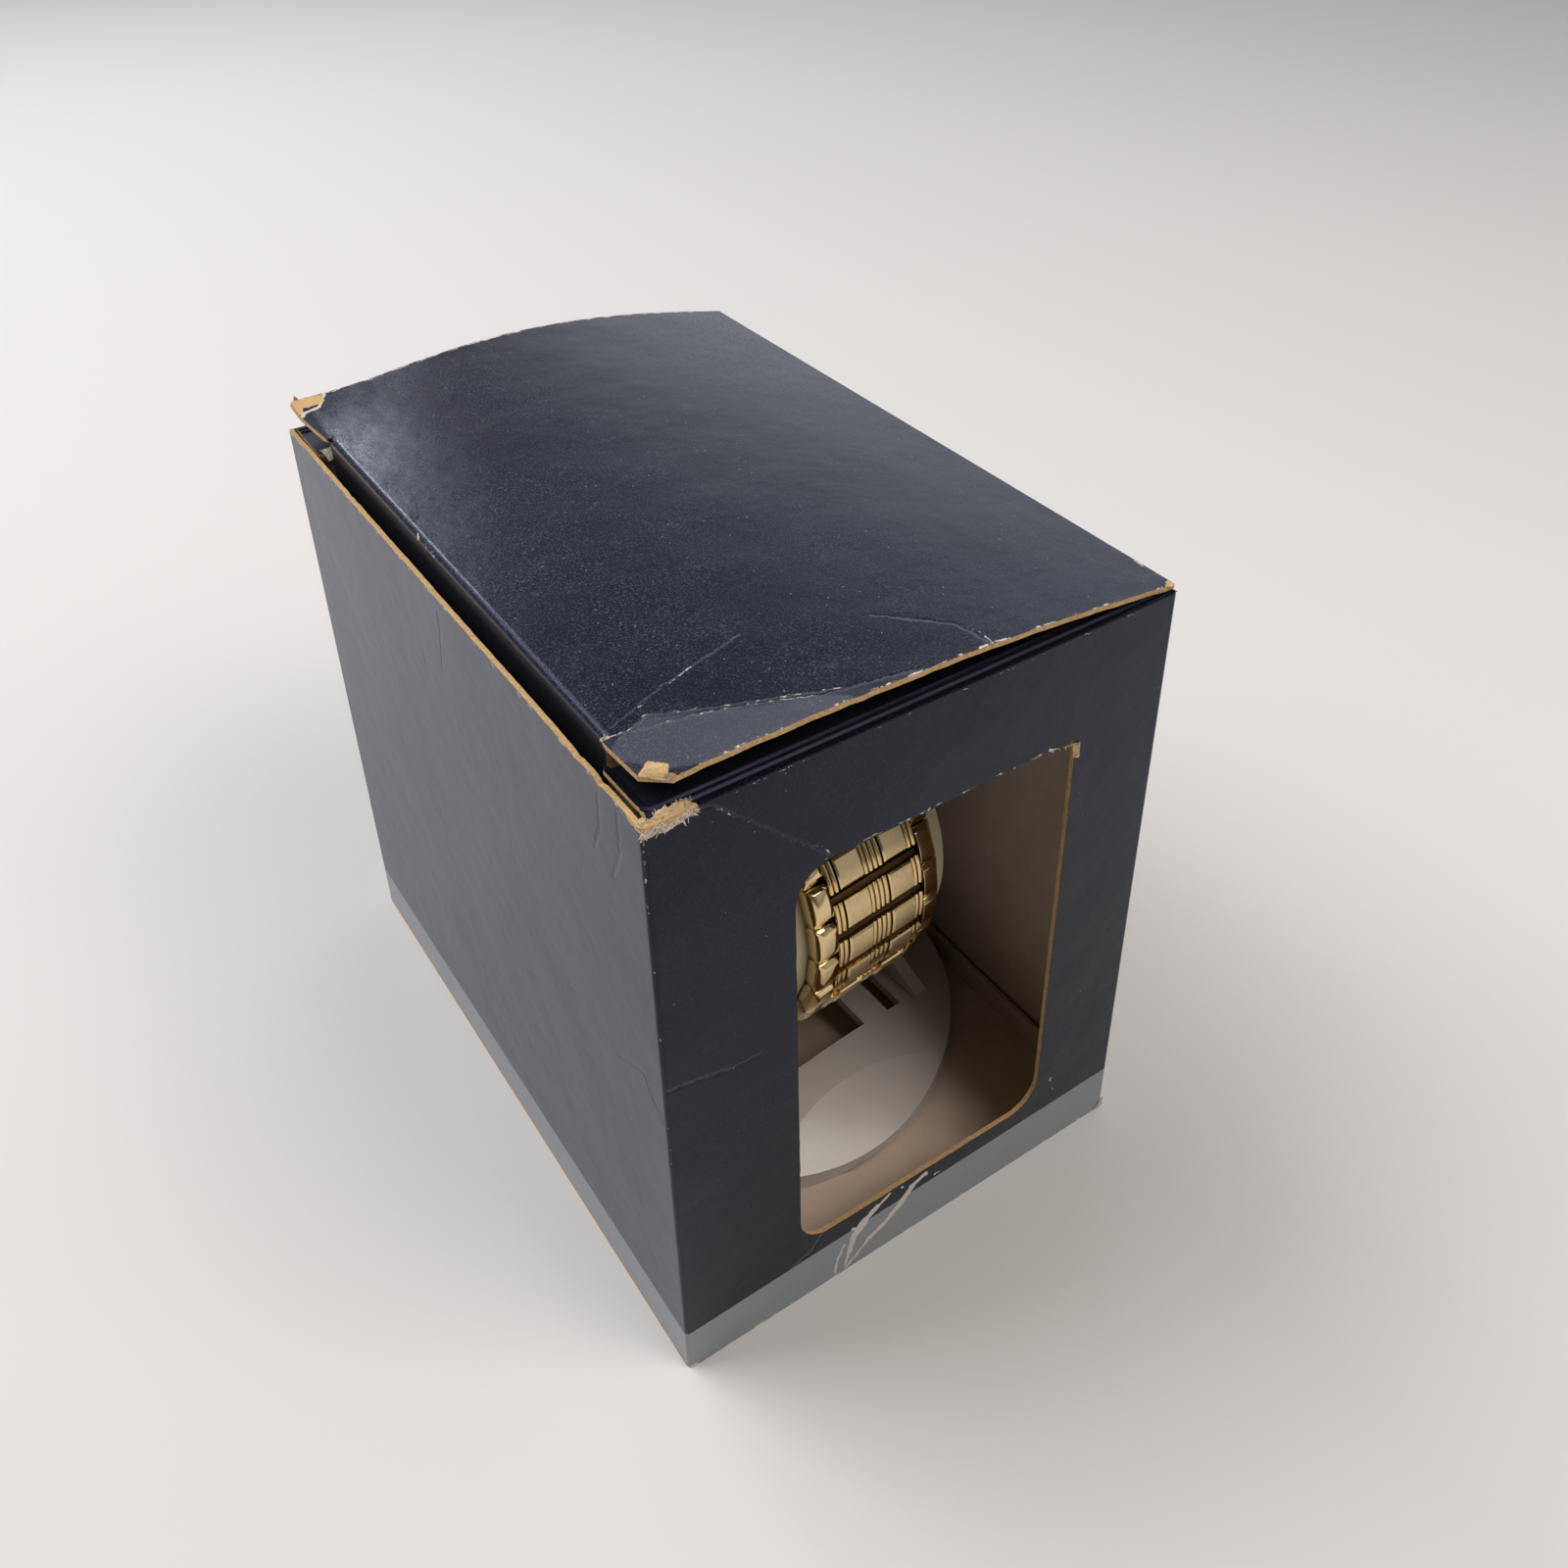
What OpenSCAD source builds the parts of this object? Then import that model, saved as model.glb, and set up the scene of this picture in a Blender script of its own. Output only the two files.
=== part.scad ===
// Watch box: a windowed carton with tuck-in lid and bottom, holding a wristwatch on its display stand.
// The window face looks towards -Y, +Z is up, and the origin is the middle of the carton's underside.

/* [Carton] */
// Width across the window face
carton_w = 89; // [84:1:120]
// Depth from the window face to the back
carton_d = 127; // [105:1:170]
// Height of the walls
carton_h = 114; // [95:1:160]
// Thickness of the board
board_t = 0.8; // [0.5:0.1:1]

/* [Window] */
// Board left of the window
window_left = 21.7; // [15:0.1:25]
// Board right of the window
window_right = 17.7; // [15:0.1:25]
// Board below the window
window_sill = 14; // [12:0.1:25]
// Board above the window
window_head = 19.1; // [12:0.1:30]
// Radius of the window's corners
window_r = 6; // [2:0.5:12]

/* [Lid] */
// How far the lid's crease stands in from the left wall's outer face
lid_inset = 2.6; // [2.5:0.1:6]
// How far the crease is raised above the walls
lid_rise = 3; // [1:0.1:4]
// Upward bow of the lid's back edge
lid_bow = 5.2; // [0:0.1:6]
// Upward bow of the lid's front edge
lid_front_bow = 2.4; // [0:0.1:4]
// Length of each slit that frees an ear at the crease's ends
ear_l = 13.5; // [10:0.5:20]
// How far an ear reaches past the crease
ear_w = 0.5; // [0.2:0.1:2]
// Upward curl of the back ear
ear_curl = 1.6; // [0:0.1:3]
// Height of the lid's tuck flap
tuck_h = 17.3; // [12:0.1:20]
// Depth of the dust flaps under the lid
dust_l = 36; // [25:1:40]
// Downward tilt of the dust flaps
dust_tilt = 2; // [0.5:0.5:4]

/* [Bottom] */
// Height of the bottom panel's tuck flap
bottom_tuck_h = 6; // [5:0.5:12]
// Inward lean of that flap over its height
bottom_tuck_lean = 0.4; // [0.3:0.1:1.5]
// Depth of a bottom dust flap at its deep side
bottom_dust_l = 20.4; // [15:0.1:25]
// Width of the glue flap
glue_w = 15; // [10:0.5:20]

/* [Stand] */
// Turn of the stand in the carton
stand_turn = 6; // [-20:1:20]
// Free space in front of the stand
stand_front_gap = 13.2; // [8:0.1:18]
// Radius of the moulded base
base_r = 41.8; // [38:0.1:42.3]
// Wall of the moulded base
base_wall = 2; // [1.2:0.1:2.5]
// Height of the base at its middle
base_h = 10.3; // [9:0.1:12]
// Radius of the base's domed top
dome_r = 157; // [140:1:220]
// Height of the sloping face at its front edge
face_front_h = 2; // [1.5:0.1:3]
// Slope of the sloping face
face_angle = 25; // [20:0.5:30]
// Depth of the bracelet slot
slot_l = 24; // [12:0.5:28]
// Space between the bracelet slot and a core hole
slot_web = 5.9; // [4:0.1:7]
// Width of a core hole
core_hole_w = 3.4; // [2:0.1:4]
// Height of the cuff's middle above the table of the base
ring_z = 54.6; // [52:0.1:60]
// How far the cuff stands forward of the base's middle
ring_forward = 10.8; // [8:0.1:13]

/* [Cuff] */
// Outer radius of the cuff
cuff_r = 26; // [24:0.1:27]
// Thickness of the cuff
cuff_t = 2.2; // [1.5:0.1:3]
// Width of the cuff
cuff_w = 35.4; // [30:0.1:38]
// Width of the cuff's gap, in degrees
cuff_gap = 30; // [15:1:60]

/* [Bracelet] */
// Space between the cuff and the bracelet
bracelet_gap = 0.4; // [0.3:0.1:1]
// Thickness of the links
link_t = 3.4; // [3:0.1:4]
// Pitch of the rows, in degrees round the cuff
link_pitch = 13.8; // [12:0.1:14]
// Rows in front of the clasp
front_rows = 8; // [6:1:8]
// Rows behind the clasp
back_rows = 7; // [5:1:7]
// Width of an outer link
outer_w = 3; // [2.5:0.1:3.5]
// Width of one polished ridge
ridge_w = 1; // [0.8:0.05:1.2]
// Width of one brushed block
block_w = 5.2; // [4:0.1:5.6]
// Diameter of a link pin
pin_d = 1; // [0.8:0.1:1.2]

/* [Watch head] */
// Diameter of the case
case_d = 34; // [32:0.5:36]
// Height of the case middle
case_h = 5.6; // [5:0.1:7]
// How far the end links reach past the case
end_link_l = 2.94; // [2:0.02:4]
// Diameter of the crown
crown_d = 5; // [4:0.1:6]

/* [Hidden] */

$fn = 64;
// Cuts run this far past the faces they go through
past = 1;
// Clearances: board to board, board to the stand, metal to metal
board_gap = 0.1;
fit_gap = 0.2;
metal_gap = 0.15;

// Inner faces of the walls
inner_x = carton_w / 2 - board_t;
inner_y = carton_d / 2 - board_t;

// Lid: length from its hinge to the crease, and the tilt that raises the crease
lid_l = norm([carton_w - lid_inset, lid_rise]);
lid_tilt = asin(lid_rise / lid_l);
lid_edge_gap = 0.8;
lid_corner = 3.5;
lid_cols = 10;
lid_rows = 16;
tuck_corner_r = 7;
crease_half = inner_y + board_t - lid_edge_gap - ear_l;
shoulder_gap = 2;

// Bottom: the dust flaps lie on the panel, and the stand stands on them
bottom_side_gap = 0.2;
bottom_tuck_end_gap = 4.5;
bottom_tuck_r = 3;
bottom_dust_z = board_t + board_gap;
stand_z = bottom_dust_z + board_t + board_gap;
bottom_reach = carton_w - board_t - 2 * fit_gap;

// Stand: it stands close to the bottom's tuck flap
stand_side_gap = 0.3;
stand_x = -carton_w / 2 + bottom_reach - board_t - bottom_tuck_lean - stand_side_gap - base_r;
stand_y = -inner_y + base_r + stand_front_gap;
rim_chamfer = 0.7;
slot_front = -ring_forward - 12.8;

// Bracelet and its rows
link_r = cuff_r + bracelet_gap;
link_top = link_r + link_t;
pin_r = link_r + 1.5;
centre_w = 8 * ridge_w + 2 * block_w;
bracelet_w = centre_w + 2 * outer_w + 2 * metal_gap;
link_l = 2 * link_r * tan(link_pitch / 2) - metal_gap;
pin_l = bracelet_w - 2.3;
head_angle = asin((case_d / 2 + end_link_l) / link_top);
front_start = head_angle;
front_end = head_angle + front_rows * link_pitch;
back_start = 360 - head_angle - back_rows * link_pitch;

// Watch head, measured up from the plane that the case back touches
case_z = link_r + 0.1;
case_wall = 2;
cavity_r = case_d / 2 - case_wall;
dial_z = 3.7;
dial_t = 0.4;
bezel_h = 1.5;
crystal_t = 1.2;
arbor_r = 0.4;
hour_tube_r = 0.7;
run_gap = 0.05;
lug_w = outer_w - 0.1;
lug_x = centre_w / 2 + metal_gap;
spring_bar_d = 1.5;
spring_bar_angle = head_angle - 1.8;
spring_bar_r = link_r + 1.6;
stem_d = 1;
crown_l = 3;
crown_z = 3;
crown_flutes = 24;

// Point at an angle round the cuff from its top, positive to the front, as [y, z]
function round_point(r, a) = [-r * sin(a), r * cos(a)];

// ---------- frames ----------

module in_stand() {
    translate([stand_x, stand_y, stand_z]) rotate([0, 0, stand_turn]) children();
}

module on_ring(a = 0) {
    in_stand() translate([0, -ring_forward, ring_z]) rotate([a, 0, 0]) children();
}

module on_head() {
    on_ring() translate([0, 0, case_z]) children();
}

module on_lid() {
    translate([carton_w / 2, 0, carton_h]) rotate([0, lid_tilt, 0]) children();
}

// Extrudes a [y, z] outline along X, centred
module across(w) {
    translate([-w / 2, 0, 0]) rotate([90, 0, 90]) linear_extrude(w) children();
}

// Extrudes an [x, z] outline along Y, from y = 0 to y = d
module through(d) {
    translate([0, d, 0]) rotate([90, 0, 0]) linear_extrude(d) children();
}

// Rectangle with round corners, lower left corner at the origin
module round_rect(w, h, r) {
    translate([r, 0]) square([w - 2 * r, h]);
    translate([0, r]) square([w, h - 2 * r]);
    for (x = [r, w - r], y = [r, h - r]) translate([x, y]) circle(r);
}

// Ring seen from its end, between two angles round the cuff
module arc_band(r_in, r_out, a0, a1) {
    intersection() {
        difference() {
            circle(r_out, $fn = 180);
            circle(r_in, $fn = 180);
        }
        polygon(concat([[0, 0]], [for (i = [0:4]) round_point(2 * r_out, a0 + (a1 - a0) * i / 4)]));
    }
}

// ---------- carton ----------

module wall_outline(w, z0) {
    translate([-w / 2, z0]) square([w, carton_h - z0]);
}

module front_wall() {
    color("#2b2d36") translate([0, -carton_d / 2, 0]) through(board_t) difference() {
        wall_outline(carton_w, 0);
        translate([-carton_w / 2 + window_left, window_sill])
            round_rect(carton_w - window_left - window_right,
                carton_h - window_sill - window_head, window_r);
    }
}

module back_wall() {
    color("#2b2d36") translate([0, inner_y, 0]) through(board_t) wall_outline(carton_w, 0);
}

// The bottom panel's crease runs under the left wall
module left_wall() {
    color("#2b2d36") translate([-carton_w / 2 + board_t / 2, 0, 0]) across(board_t)
        wall_outline(2 * inner_y, board_t);
}

// The ears of the bottom panel reach under the right wall
module right_wall() {
    color("#2b2d36") translate([carton_w / 2 - board_t / 2, 0, 0]) across(board_t)
        wall_outline(2 * inner_y, board_t + board_gap);
}

module glue_flap() {
    taper = 6;
    z0 = stand_z + 2;
    z1 = carton_h - 6;
    color("#a89c8c") translate([-inner_x, inner_y - board_t, 0]) through(board_t)
        polygon([[0, z0], [glue_w, z0 + taper], [glue_w, z1 - taper], [0, z1]]);
}

// Flap whose free edge slants from the right corner to its deep left side
module bottom_dust_outline() {
    half = inner_x - board_t;
    deep_x = -half * 0.7;
    polygon([[-half, 0], [half, 0], [half, 0.6], [deep_x, bottom_dust_l], [deep_x - 5, bottom_dust_l],
        [-half, bottom_dust_l - 9]]);
}

module bottom_front_dust_flap() {
    color("#a89c8c") translate([0, -inner_y, bottom_dust_z]) linear_extrude(board_t) bottom_dust_outline();
}

module bottom_back_dust_flap() {
    color("#a89c8c") translate([0, inner_y, bottom_dust_z]) linear_extrude(board_t)
        mirror([0, 1]) bottom_dust_outline();
}

// One half of the panel's outline, from the middle to the front, with the ear beside the crease
function bottom_half(s) =
    let (y = inner_y - bottom_side_gap, ear_x = bottom_reach + board_t)
    [[bottom_reach, s * (y - ear_l)], [ear_x, s * (y - ear_l)], [ear_x, s * (y - 3)],
        [ear_x - 3, s * y], [0, s * y]];

module bottom_panel() {
    half = bottom_half(1);
    color("#8d908f") translate([-carton_w / 2, 0, 0]) linear_extrude(board_t)
        polygon(concat(bottom_half(-1), [for (i = [len(half) - 1:-1:0]) half[i]]));
}

module bottom_tuck_flap() {
    half_y = inner_y - bottom_tuck_end_gap;
    lean = atan(bottom_tuck_lean / bottom_tuck_h);
    color("#a89c8c") translate([-carton_w / 2 + bottom_reach, 0, board_t * (1 + sin(lean))])
        rotate([0, -lean, 0]) translate([-board_t / 2, 0, 0]) across(board_t) {
            translate([-half_y, 0]) square([2 * half_y, bottom_tuck_h - bottom_tuck_r]);
            translate([-half_y, 0]) round_rect(2 * half_y, bottom_tuck_h, bottom_tuck_r);
        }
}

// Left edge of the lid in its own plane: the crease, and the ears with their cut corners
function lid_left(y) =
    let (edge = inner_y + board_t - lid_edge_gap, from_edge = edge - abs(y))
    from_edge < lid_corner ? -lid_l - ear_w + (lid_corner - from_edge)
    : from_edge < ear_l ? -lid_l - ear_w
    : -lid_l;

// Height of the lid over its plane: bowed most at the back, flat along the hinge, curled at the back ear
function lid_height(u, v) =
    (lid_front_bow + (lid_bow - lid_front_bow) * pow(v, 1.5)) * sin(180 * u)
    + ear_curl * pow(max(0, u - 0.8) / 0.2, 2) * pow(max(0, v - 0.8) / 0.2, 2);

// Rows of the lid, closer where the ears begin and end
function lid_rows_y() =
    let (edge = inner_y + board_t - lid_edge_gap)
    concat([for (i = [0:5]) -edge + lid_corner * i / 5], [-edge + ear_l - 0.01, -edge + ear_l],
        [for (i = [1:lid_rows - 1]) -edge + ear_l + (2 * edge - 2 * ear_l) * i / lid_rows],
        [edge - ear_l, edge - ear_l + 0.01], [for (i = [5:-1:0]) edge - lid_corner * i / 5]);

module lid_panel() {
    ys = lid_rows_y();
    ny = len(ys);
    nx = lid_cols + 1;
    function spot(i, j, lift) =
        let (u = j / lid_cols, v = (ys[i] - ys[0]) / (ys[ny - 1] - ys[0]))
        [lid_left(ys[i]) * u, ys[i], lid_height(u, v) + lift];
    function top(i, j) = i * nx + j;
    function low(i, j) = ny * nx + i * nx + j;
    points = concat([for (i = [0:ny - 1], j = [0:nx - 1]) spot(i, j, board_t)],
        [for (i = [0:ny - 1], j = [0:nx - 1]) spot(i, j, 0)]);
    faces = concat(
        [for (i = [0:ny - 2], j = [0:nx - 2], k = [0, 1]) k == 0
            ? [top(i, j), top(i, j + 1), top(i + 1, j)]
            : [top(i + 1, j), top(i, j + 1), top(i + 1, j + 1)]],
        [for (i = [0:ny - 2], j = [0:nx - 2], k = [0, 1]) k == 0
            ? [low(i, j), low(i + 1, j), low(i, j + 1)]
            : [low(i + 1, j), low(i + 1, j + 1), low(i, j + 1)]],
        [for (i = [0:ny - 2], j = [0, nx - 1], k = [0, 1]) j == 0
            ? (k == 0 ? [top(i, j), top(i + 1, j), low(i, j)]
                : [low(i, j), top(i + 1, j), low(i + 1, j)])
            : (k == 0 ? [top(i, j), low(i, j), top(i + 1, j)]
                : [low(i, j), low(i + 1, j), top(i + 1, j)])],
        [for (j = [0:nx - 2], i = [0, ny - 1], k = [0, 1]) i == 0
            ? (k == 0 ? [top(i, j), low(i, j), top(i, j + 1)]
                : [low(i, j), low(i, j + 1), top(i, j + 1)])
            : (k == 0 ? [top(i, j), top(i, j + 1), low(i, j)]
                : [low(i, j), top(i, j + 1), low(i, j + 1)])]);
    color("#1e2030") on_lid() polyhedron(points, faces, convexity = 4);
}

// Hangs inside the left wall, between the slits that free the ears
module tuck_flap() {
    color("#2b2d36") on_lid() translate([-lid_l, 0, 0]) rotate([0, -lid_tilt, 0])
        translate([board_t / 2, 0, -board_gap - tuck_h]) across(board_t) {
            translate([-crease_half, 0]) round_rect(2 * crease_half, tuck_h, tuck_corner_r);
            translate([-crease_half, tuck_corner_r]) square([2 * crease_half, tuck_h - tuck_corner_r]);
        }
}

// Dust flap outline from its crease at y = 0; a shoulder fills the corner up to the lid's tuck flap
module dust_outline() {
    half = inner_x - 0.5;
    clear_x = -carton_w / 2 + lid_inset + board_t + 1;
    shoulder = inner_y - crease_half - shoulder_gap;
    polygon([[-half, 0], [-half, shoulder - 0.8], [0.8 - half, shoulder], [clear_x, shoulder],
        [clear_x + 1, dust_l - 7], [clear_x + 6, dust_l], [half - 12, dust_l], [half - 6, 6],
        [half, 1.5], [half, 0]]);
}

module front_dust_flap() {
    color("#2b2d36") translate([0, -inner_y, carton_h - board_t]) rotate([-dust_tilt, 0, 0])
        translate([0, board_gap, 0]) linear_extrude(board_t) dust_outline();
}

module back_dust_flap() {
    color("#2b2d36") translate([0, inner_y, carton_h - board_t]) rotate([dust_tilt, 0, 0])
        translate([0, -board_gap, 0]) linear_extrude(board_t) mirror([0, 1]) dust_outline();
}

// ---------- stand ----------

// Half section of the base: rim, chamfer and domed top, set in by a wall
module base_section(inset) {
    r = base_r - inset;
    intersection() {
        square([r, base_h]);
        translate([0, base_h - dome_r]) circle(dome_r - inset, $fn = 720);
    }
}

module face_cut(drop) {
    translate([0, -base_r, face_front_h - drop / cos(face_angle)]) rotate([face_angle, 0, 0])
        translate([-base_r, -base_r, 0]) cube([2 * base_r, 2 * base_r, 2 * base_h]);
}

module base_form(inset) {
    difference() {
        rotate_extrude($fn = 180) base_section(inset);
        face_cut(inset);
    }
}

// Cradle seen from the front, for x > 0: an outer skin that leans in and a ledge under the cuff
module cradle_front() {
    ledge_x = bracelet_w / 2 + 1.05;
    cheek_x = cuff_w / 2 + 0.3;
    top = ring_z - cuff_r + 4;
    polygon([[ledge_x + 14.2, 4], [ledge_x + 12.2, 14], [ledge_x + 8.2, 24], [cheek_x + 2.6, top - 2],
        [cheek_x + 1.8, top], [ledge_x, top], [ledge_x, top - 6], [ledge_x + 3.2, top - 7],
        [ledge_x + 5.8, 22.5], [ledge_x + 9.8, 13], [ledge_x + 11.8, 4]]);
}

// Cradle seen from the side: a column with hollow flanks under the middle of the cuff
module cradle_side() {
    waist = 12.2;
    flank_r = 15;
    waist_z = 22.5;
    difference() {
        translate([-ring_forward - 14.6, 4]) square([29.2, ring_z - cuff_r]);
        for (s = [-1, 1]) translate([-ring_forward + s * (waist / 2 + flank_r), waist_z])
            circle(flank_r, $fn = 96);
    }
}

module cradle() {
    intersection() {
        translate([0, -base_r, 0]) through(2 * base_r) cradle_front();
        across(2 * base_r) cradle_side();
    }
}

module stand_base() {
    slot_w = bracelet_w - 0.3;
    color("#d8d2ca") in_stand() difference() {
        union() {
            difference() {
                base_form(0);
                translate([0, 0, -past]) cylinder(r = base_r - base_wall, h = past + 0.01, $fn = 180);
                base_form(base_wall);
            }
            for (s = [0, 1]) mirror([s, 0, 0]) cradle();
        }
        // bracelet slot and the core holes beside it
        translate([-slot_w / 2, slot_front, 0]) cube([slot_w, slot_l, 2 * base_h]);
        for (s = [0, 1]) mirror([s, 0, 0])
            translate([slot_w / 2 + slot_web, slot_front, 0]) cube([core_hole_w, slot_l * 0.7, base_h + 1]);
        // seat of the cuff
        translate([0, -ring_forward, ring_z]) rotate([0, 90, 0])
            cylinder(r = cuff_r + board_gap, h = cuff_w + 0.6, center = true, $fn = 180);
        // rim chamfer
        rotate_extrude($fn = 180) polygon([[base_r - rim_chamfer, rim_height() + 0.05],
            [base_r + past, rim_height() + 0.05], [base_r + past, rim_height() - rim_chamfer - past],
            [base_r, rim_height() - rim_chamfer]]);
    }
}

// Height of the domed top over the rim
function rim_height() = base_h - dome_r + sqrt(dome_r * dome_r - base_r * base_r);

module cuff() {
    edge_r = 0.8;
    gap_at = 240;
    color("#d9d2b8") on_ring() difference() {
        rotate([0, 90, 0]) rotate_extrude($fn = 180) translate([cuff_r - cuff_t, -cuff_w / 2])
            round_rect(cuff_t, cuff_w, edge_r);
        across(cuff_w + 2 * past) polygon([[0, 0], round_point(2 * cuff_r, gap_at - cuff_gap / 2),
            round_point(2 * cuff_r, gap_at + cuff_gap / 2)]);
    }
}

// ---------- bracelet ----------

// Middles of the ridges across a centre link: four in the middle and two at each end
ridge_x = concat([for (i = [0:3]) (i - 1.5) * ridge_w],
    [for (s = [-1, 1], i = [0, 1]) s * (centre_w / 2 - (i + 0.5) * ridge_w)]);

// Section of a centre link across the bracelet, as [x, z]
module centre_section() {
    groove_z = link_top - 0.55;
    translate([-centre_w / 2, 0]) square([centre_w, groove_z]);
    for (s = [-1, 1]) translate([s * (2 * ridge_w + block_w / 2) - block_w / 2 + 0.1, 0])
        square([block_w - 0.2, link_top - 0.05]);
    for (x = ridge_x) translate([x, link_top - ridge_w / 2]) circle(ridge_w / 2 - 0.03, $fn = 24);
}

// Section of an outer link, bevelled on its outer edge, for x > 0
module outer_section() {
    bevel = 0.9;
    translate([lug_x, 0]) polygon([[0, 0], [outer_w, 0], [outer_w, link_top - 1.1],
        [outer_w - bevel, link_top - 0.1], [0, link_top - 0.1]]);
}

// A link seen from its side, as [y, z]: bevelled on top, and round below on an outer link
module link_side(bevel, foot_r) {
    half = link_l / 2;
    polygon([[-half, link_r + foot_r], [-half + foot_r, link_r], [half - foot_r, link_r],
        [half, link_r + foot_r], [half + 0.25, link_top - 1.1], [half - bevel, link_top + 0.01],
        [-half + bevel, link_top + 0.01], [-half - 0.25, link_top - 1.1]]);
}

// Positions of the pins along the loop, a quarter pitch either side of a centre link's middle
function pin_angles(start, rows) =
    [for (i = [0:rows - 1], s = [-1, 1]) start + (i + 0.5 + s * 0.25) * link_pitch];

module pin_at(a, r = pin_d / 2, l = pin_l) {
    rotate([a, 0, 0]) translate([0, 0, pin_r]) rotate([0, 90, 0])
        cylinder(r = r, h = l, center = true, $fn = 24);
}

module pin_holes(angles) {
    for (a = angles) pin_at(a, pin_d / 2 + run_gap, pin_l + metal_gap);
}

// One centre link at the top of the loop, with its two pin holes
module centre_link() {
    difference() {
        intersection() {
            translate([0, -link_l, 0]) through(2 * link_l) centre_section();
            across(centre_w + past) link_side(0.55, 0.4);
        }
        pin_holes([-link_pitch / 4, link_pitch / 4]);
    }
}

// A pair of outer links at the top of the loop
module outer_pair() {
    difference() {
        for (s = [0, 1]) mirror([s, 0, 0]) intersection() {
            translate([0, -link_l, 0]) through(2 * link_l) outer_section();
            across(bracelet_w + past) link_side(0.5, 1.1);
        }
        pin_holes([-link_pitch / 4, link_pitch / 4]);
    }
}

module centre_links() {
    color("#d4b271") for (part = [[front_start, front_rows], [back_start, back_rows]], i = [0:part[1] - 1])
        on_ring(part[0] + (i + 0.5) * link_pitch) centre_link();
}

module outer_links() {
    color("#cfae70") for (part = [[front_start, front_rows], [back_start, back_rows]], i = [1:part[1] - 1])
        on_ring(part[0] + i * link_pitch) outer_pair();
}

module link_pins() {
    color("#b8a070") on_ring() {
        for (a = pin_angles(front_start, front_rows)) pin_at(a);
        for (a = pin_angles(back_start, back_rows)) pin_at(a);
    }
}

// ---------- clasp, at the bottom of the loop ----------

clasp_hinge_angle = front_end + 7;

module clasp_plate() {
    plate_t = 1.2;
    reach = link_pitch / 2;
    color("#c8a765") on_ring() difference() {
        union() {
            across(centre_w) arc_band(link_r, link_r + plate_t, front_end + 0.6, back_start - 0.6);
            for (a = [[front_end - reach + 0.4, front_end + 9], [back_start - 9, back_start + reach - 0.4]])
                for (s = [-1, 1]) translate([s * (lug_x + lug_w / 2), 0, 0]) across(lug_w)
                    arc_band(link_r, link_top - 0.3, a[0], a[1]);
            for (a = [[front_end + 0.6, front_end + 5], [back_start - 5, back_start - 0.6]])
                across(bracelet_w - 1) arc_band(link_r, link_r + plate_t, a[0], a[1]);
        }
        pin_holes([front_end - link_pitch / 4, back_start + link_pitch / 4]);
        pin_at(clasp_hinge_angle, pin_d / 2 + run_gap, pin_l + metal_gap);
    }
}

module clasp_cover() {
    lip = 0.8;
    in_r = link_r + 1.2 + metal_gap;
    color("#cfae70") on_ring() difference() {
        union() {
            across(centre_w) arc_band(in_r, link_top + 0.4, front_end + 1, back_start - 1);
            across(bracelet_w - 0.6)
                arc_band(link_top - 0.1, link_top + 0.4, front_end + 1, back_start - 1);
        }
        across(centre_w - 2 * lip)
            arc_band(in_r - past, link_top - 0.5, front_end + 11, back_start - 3);
        pin_at(clasp_hinge_angle, pin_d / 2 + run_gap, pin_l + metal_gap);
    }
}

module clasp_hinge_pin() {
    color("#b8a070") on_ring() pin_at(clasp_hinge_angle);
}

// ---------- watch head ----------

// Lug or end link seen from its side, down to an angle of the loop
module lug_side(a_end) {
    top_r = link_top - 0.1;
    difference() {
        polygon([[-8, 20], [-8, case_z + case_h - 0.8], [-case_d / 2 + 1.5, case_z + case_h - 1.4],
            [-case_d / 2 - 2.6, case_z + case_h - 5], round_point(top_r + 0.6, a_end - 8),
            round_point(top_r, a_end), round_point(link_r - past, a_end)]);
        circle(link_r, $fn = 180);
    }
}

module case_middle() {
    edge = 0.7;
    r = case_d / 2;
    z0 = 0.6;
    color("#cba968") difference() {
        union() {
            on_head() rotate_extrude($fn = 120) polygon([[0, z0], [r - edge, z0], [r, z0 + edge],
                [r, case_h - edge], [r - edge, case_h], [0, case_h]]);
            on_ring() for (s = [0, 1], t = [0, 1]) mirror([s, 0, 0]) mirror([0, t, 0])
                translate([lug_x + lug_w / 2, 0, 0]) across(lug_w)
                    lug_side(head_angle + link_pitch / 2 - 0.4);
        }
        on_head() {
            translate([0, 0, 1]) cylinder(r = cavity_r, h = case_h, $fn = 120);
            translate([0, 0, -2 * case_h]) cylinder(r = cavity_r - 0.8, h = 3 * case_h, $fn = 120);
            translate([0, 0, -2 * case_h + z0]) cylinder(r = r - 1.5, h = 2 * case_h, $fn = 120);
            stem_bore();
        }
        on_ring() {
            pin_holes([head_angle + link_pitch / 4, -head_angle - link_pitch / 4]);
            for (s = [-1, 1]) spring_bar(s, run_gap);
        }
    }
}

// Bore of the winding stem, from the middle of the head to the right
module stem_bore() {
    translate([0, 0, crown_z]) rotate([0, 90, 0])
        cylinder(r = stem_d / 2 + run_gap, h = case_d, $fn = 24);
}

module spring_bar(side, gap) {
    rotate([side * spring_bar_angle, 0, 0]) translate([0, 0, spring_bar_r]) rotate([0, 90, 0])
        cylinder(r = spring_bar_d / 2 + gap, h = centre_w + 2.4 + 2 * gap, center = true, $fn = 24);
}

module spring_bars() {
    color("#c0c0c0") on_ring() for (s = [-1, 1]) spring_bar(s, 0);
}

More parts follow.
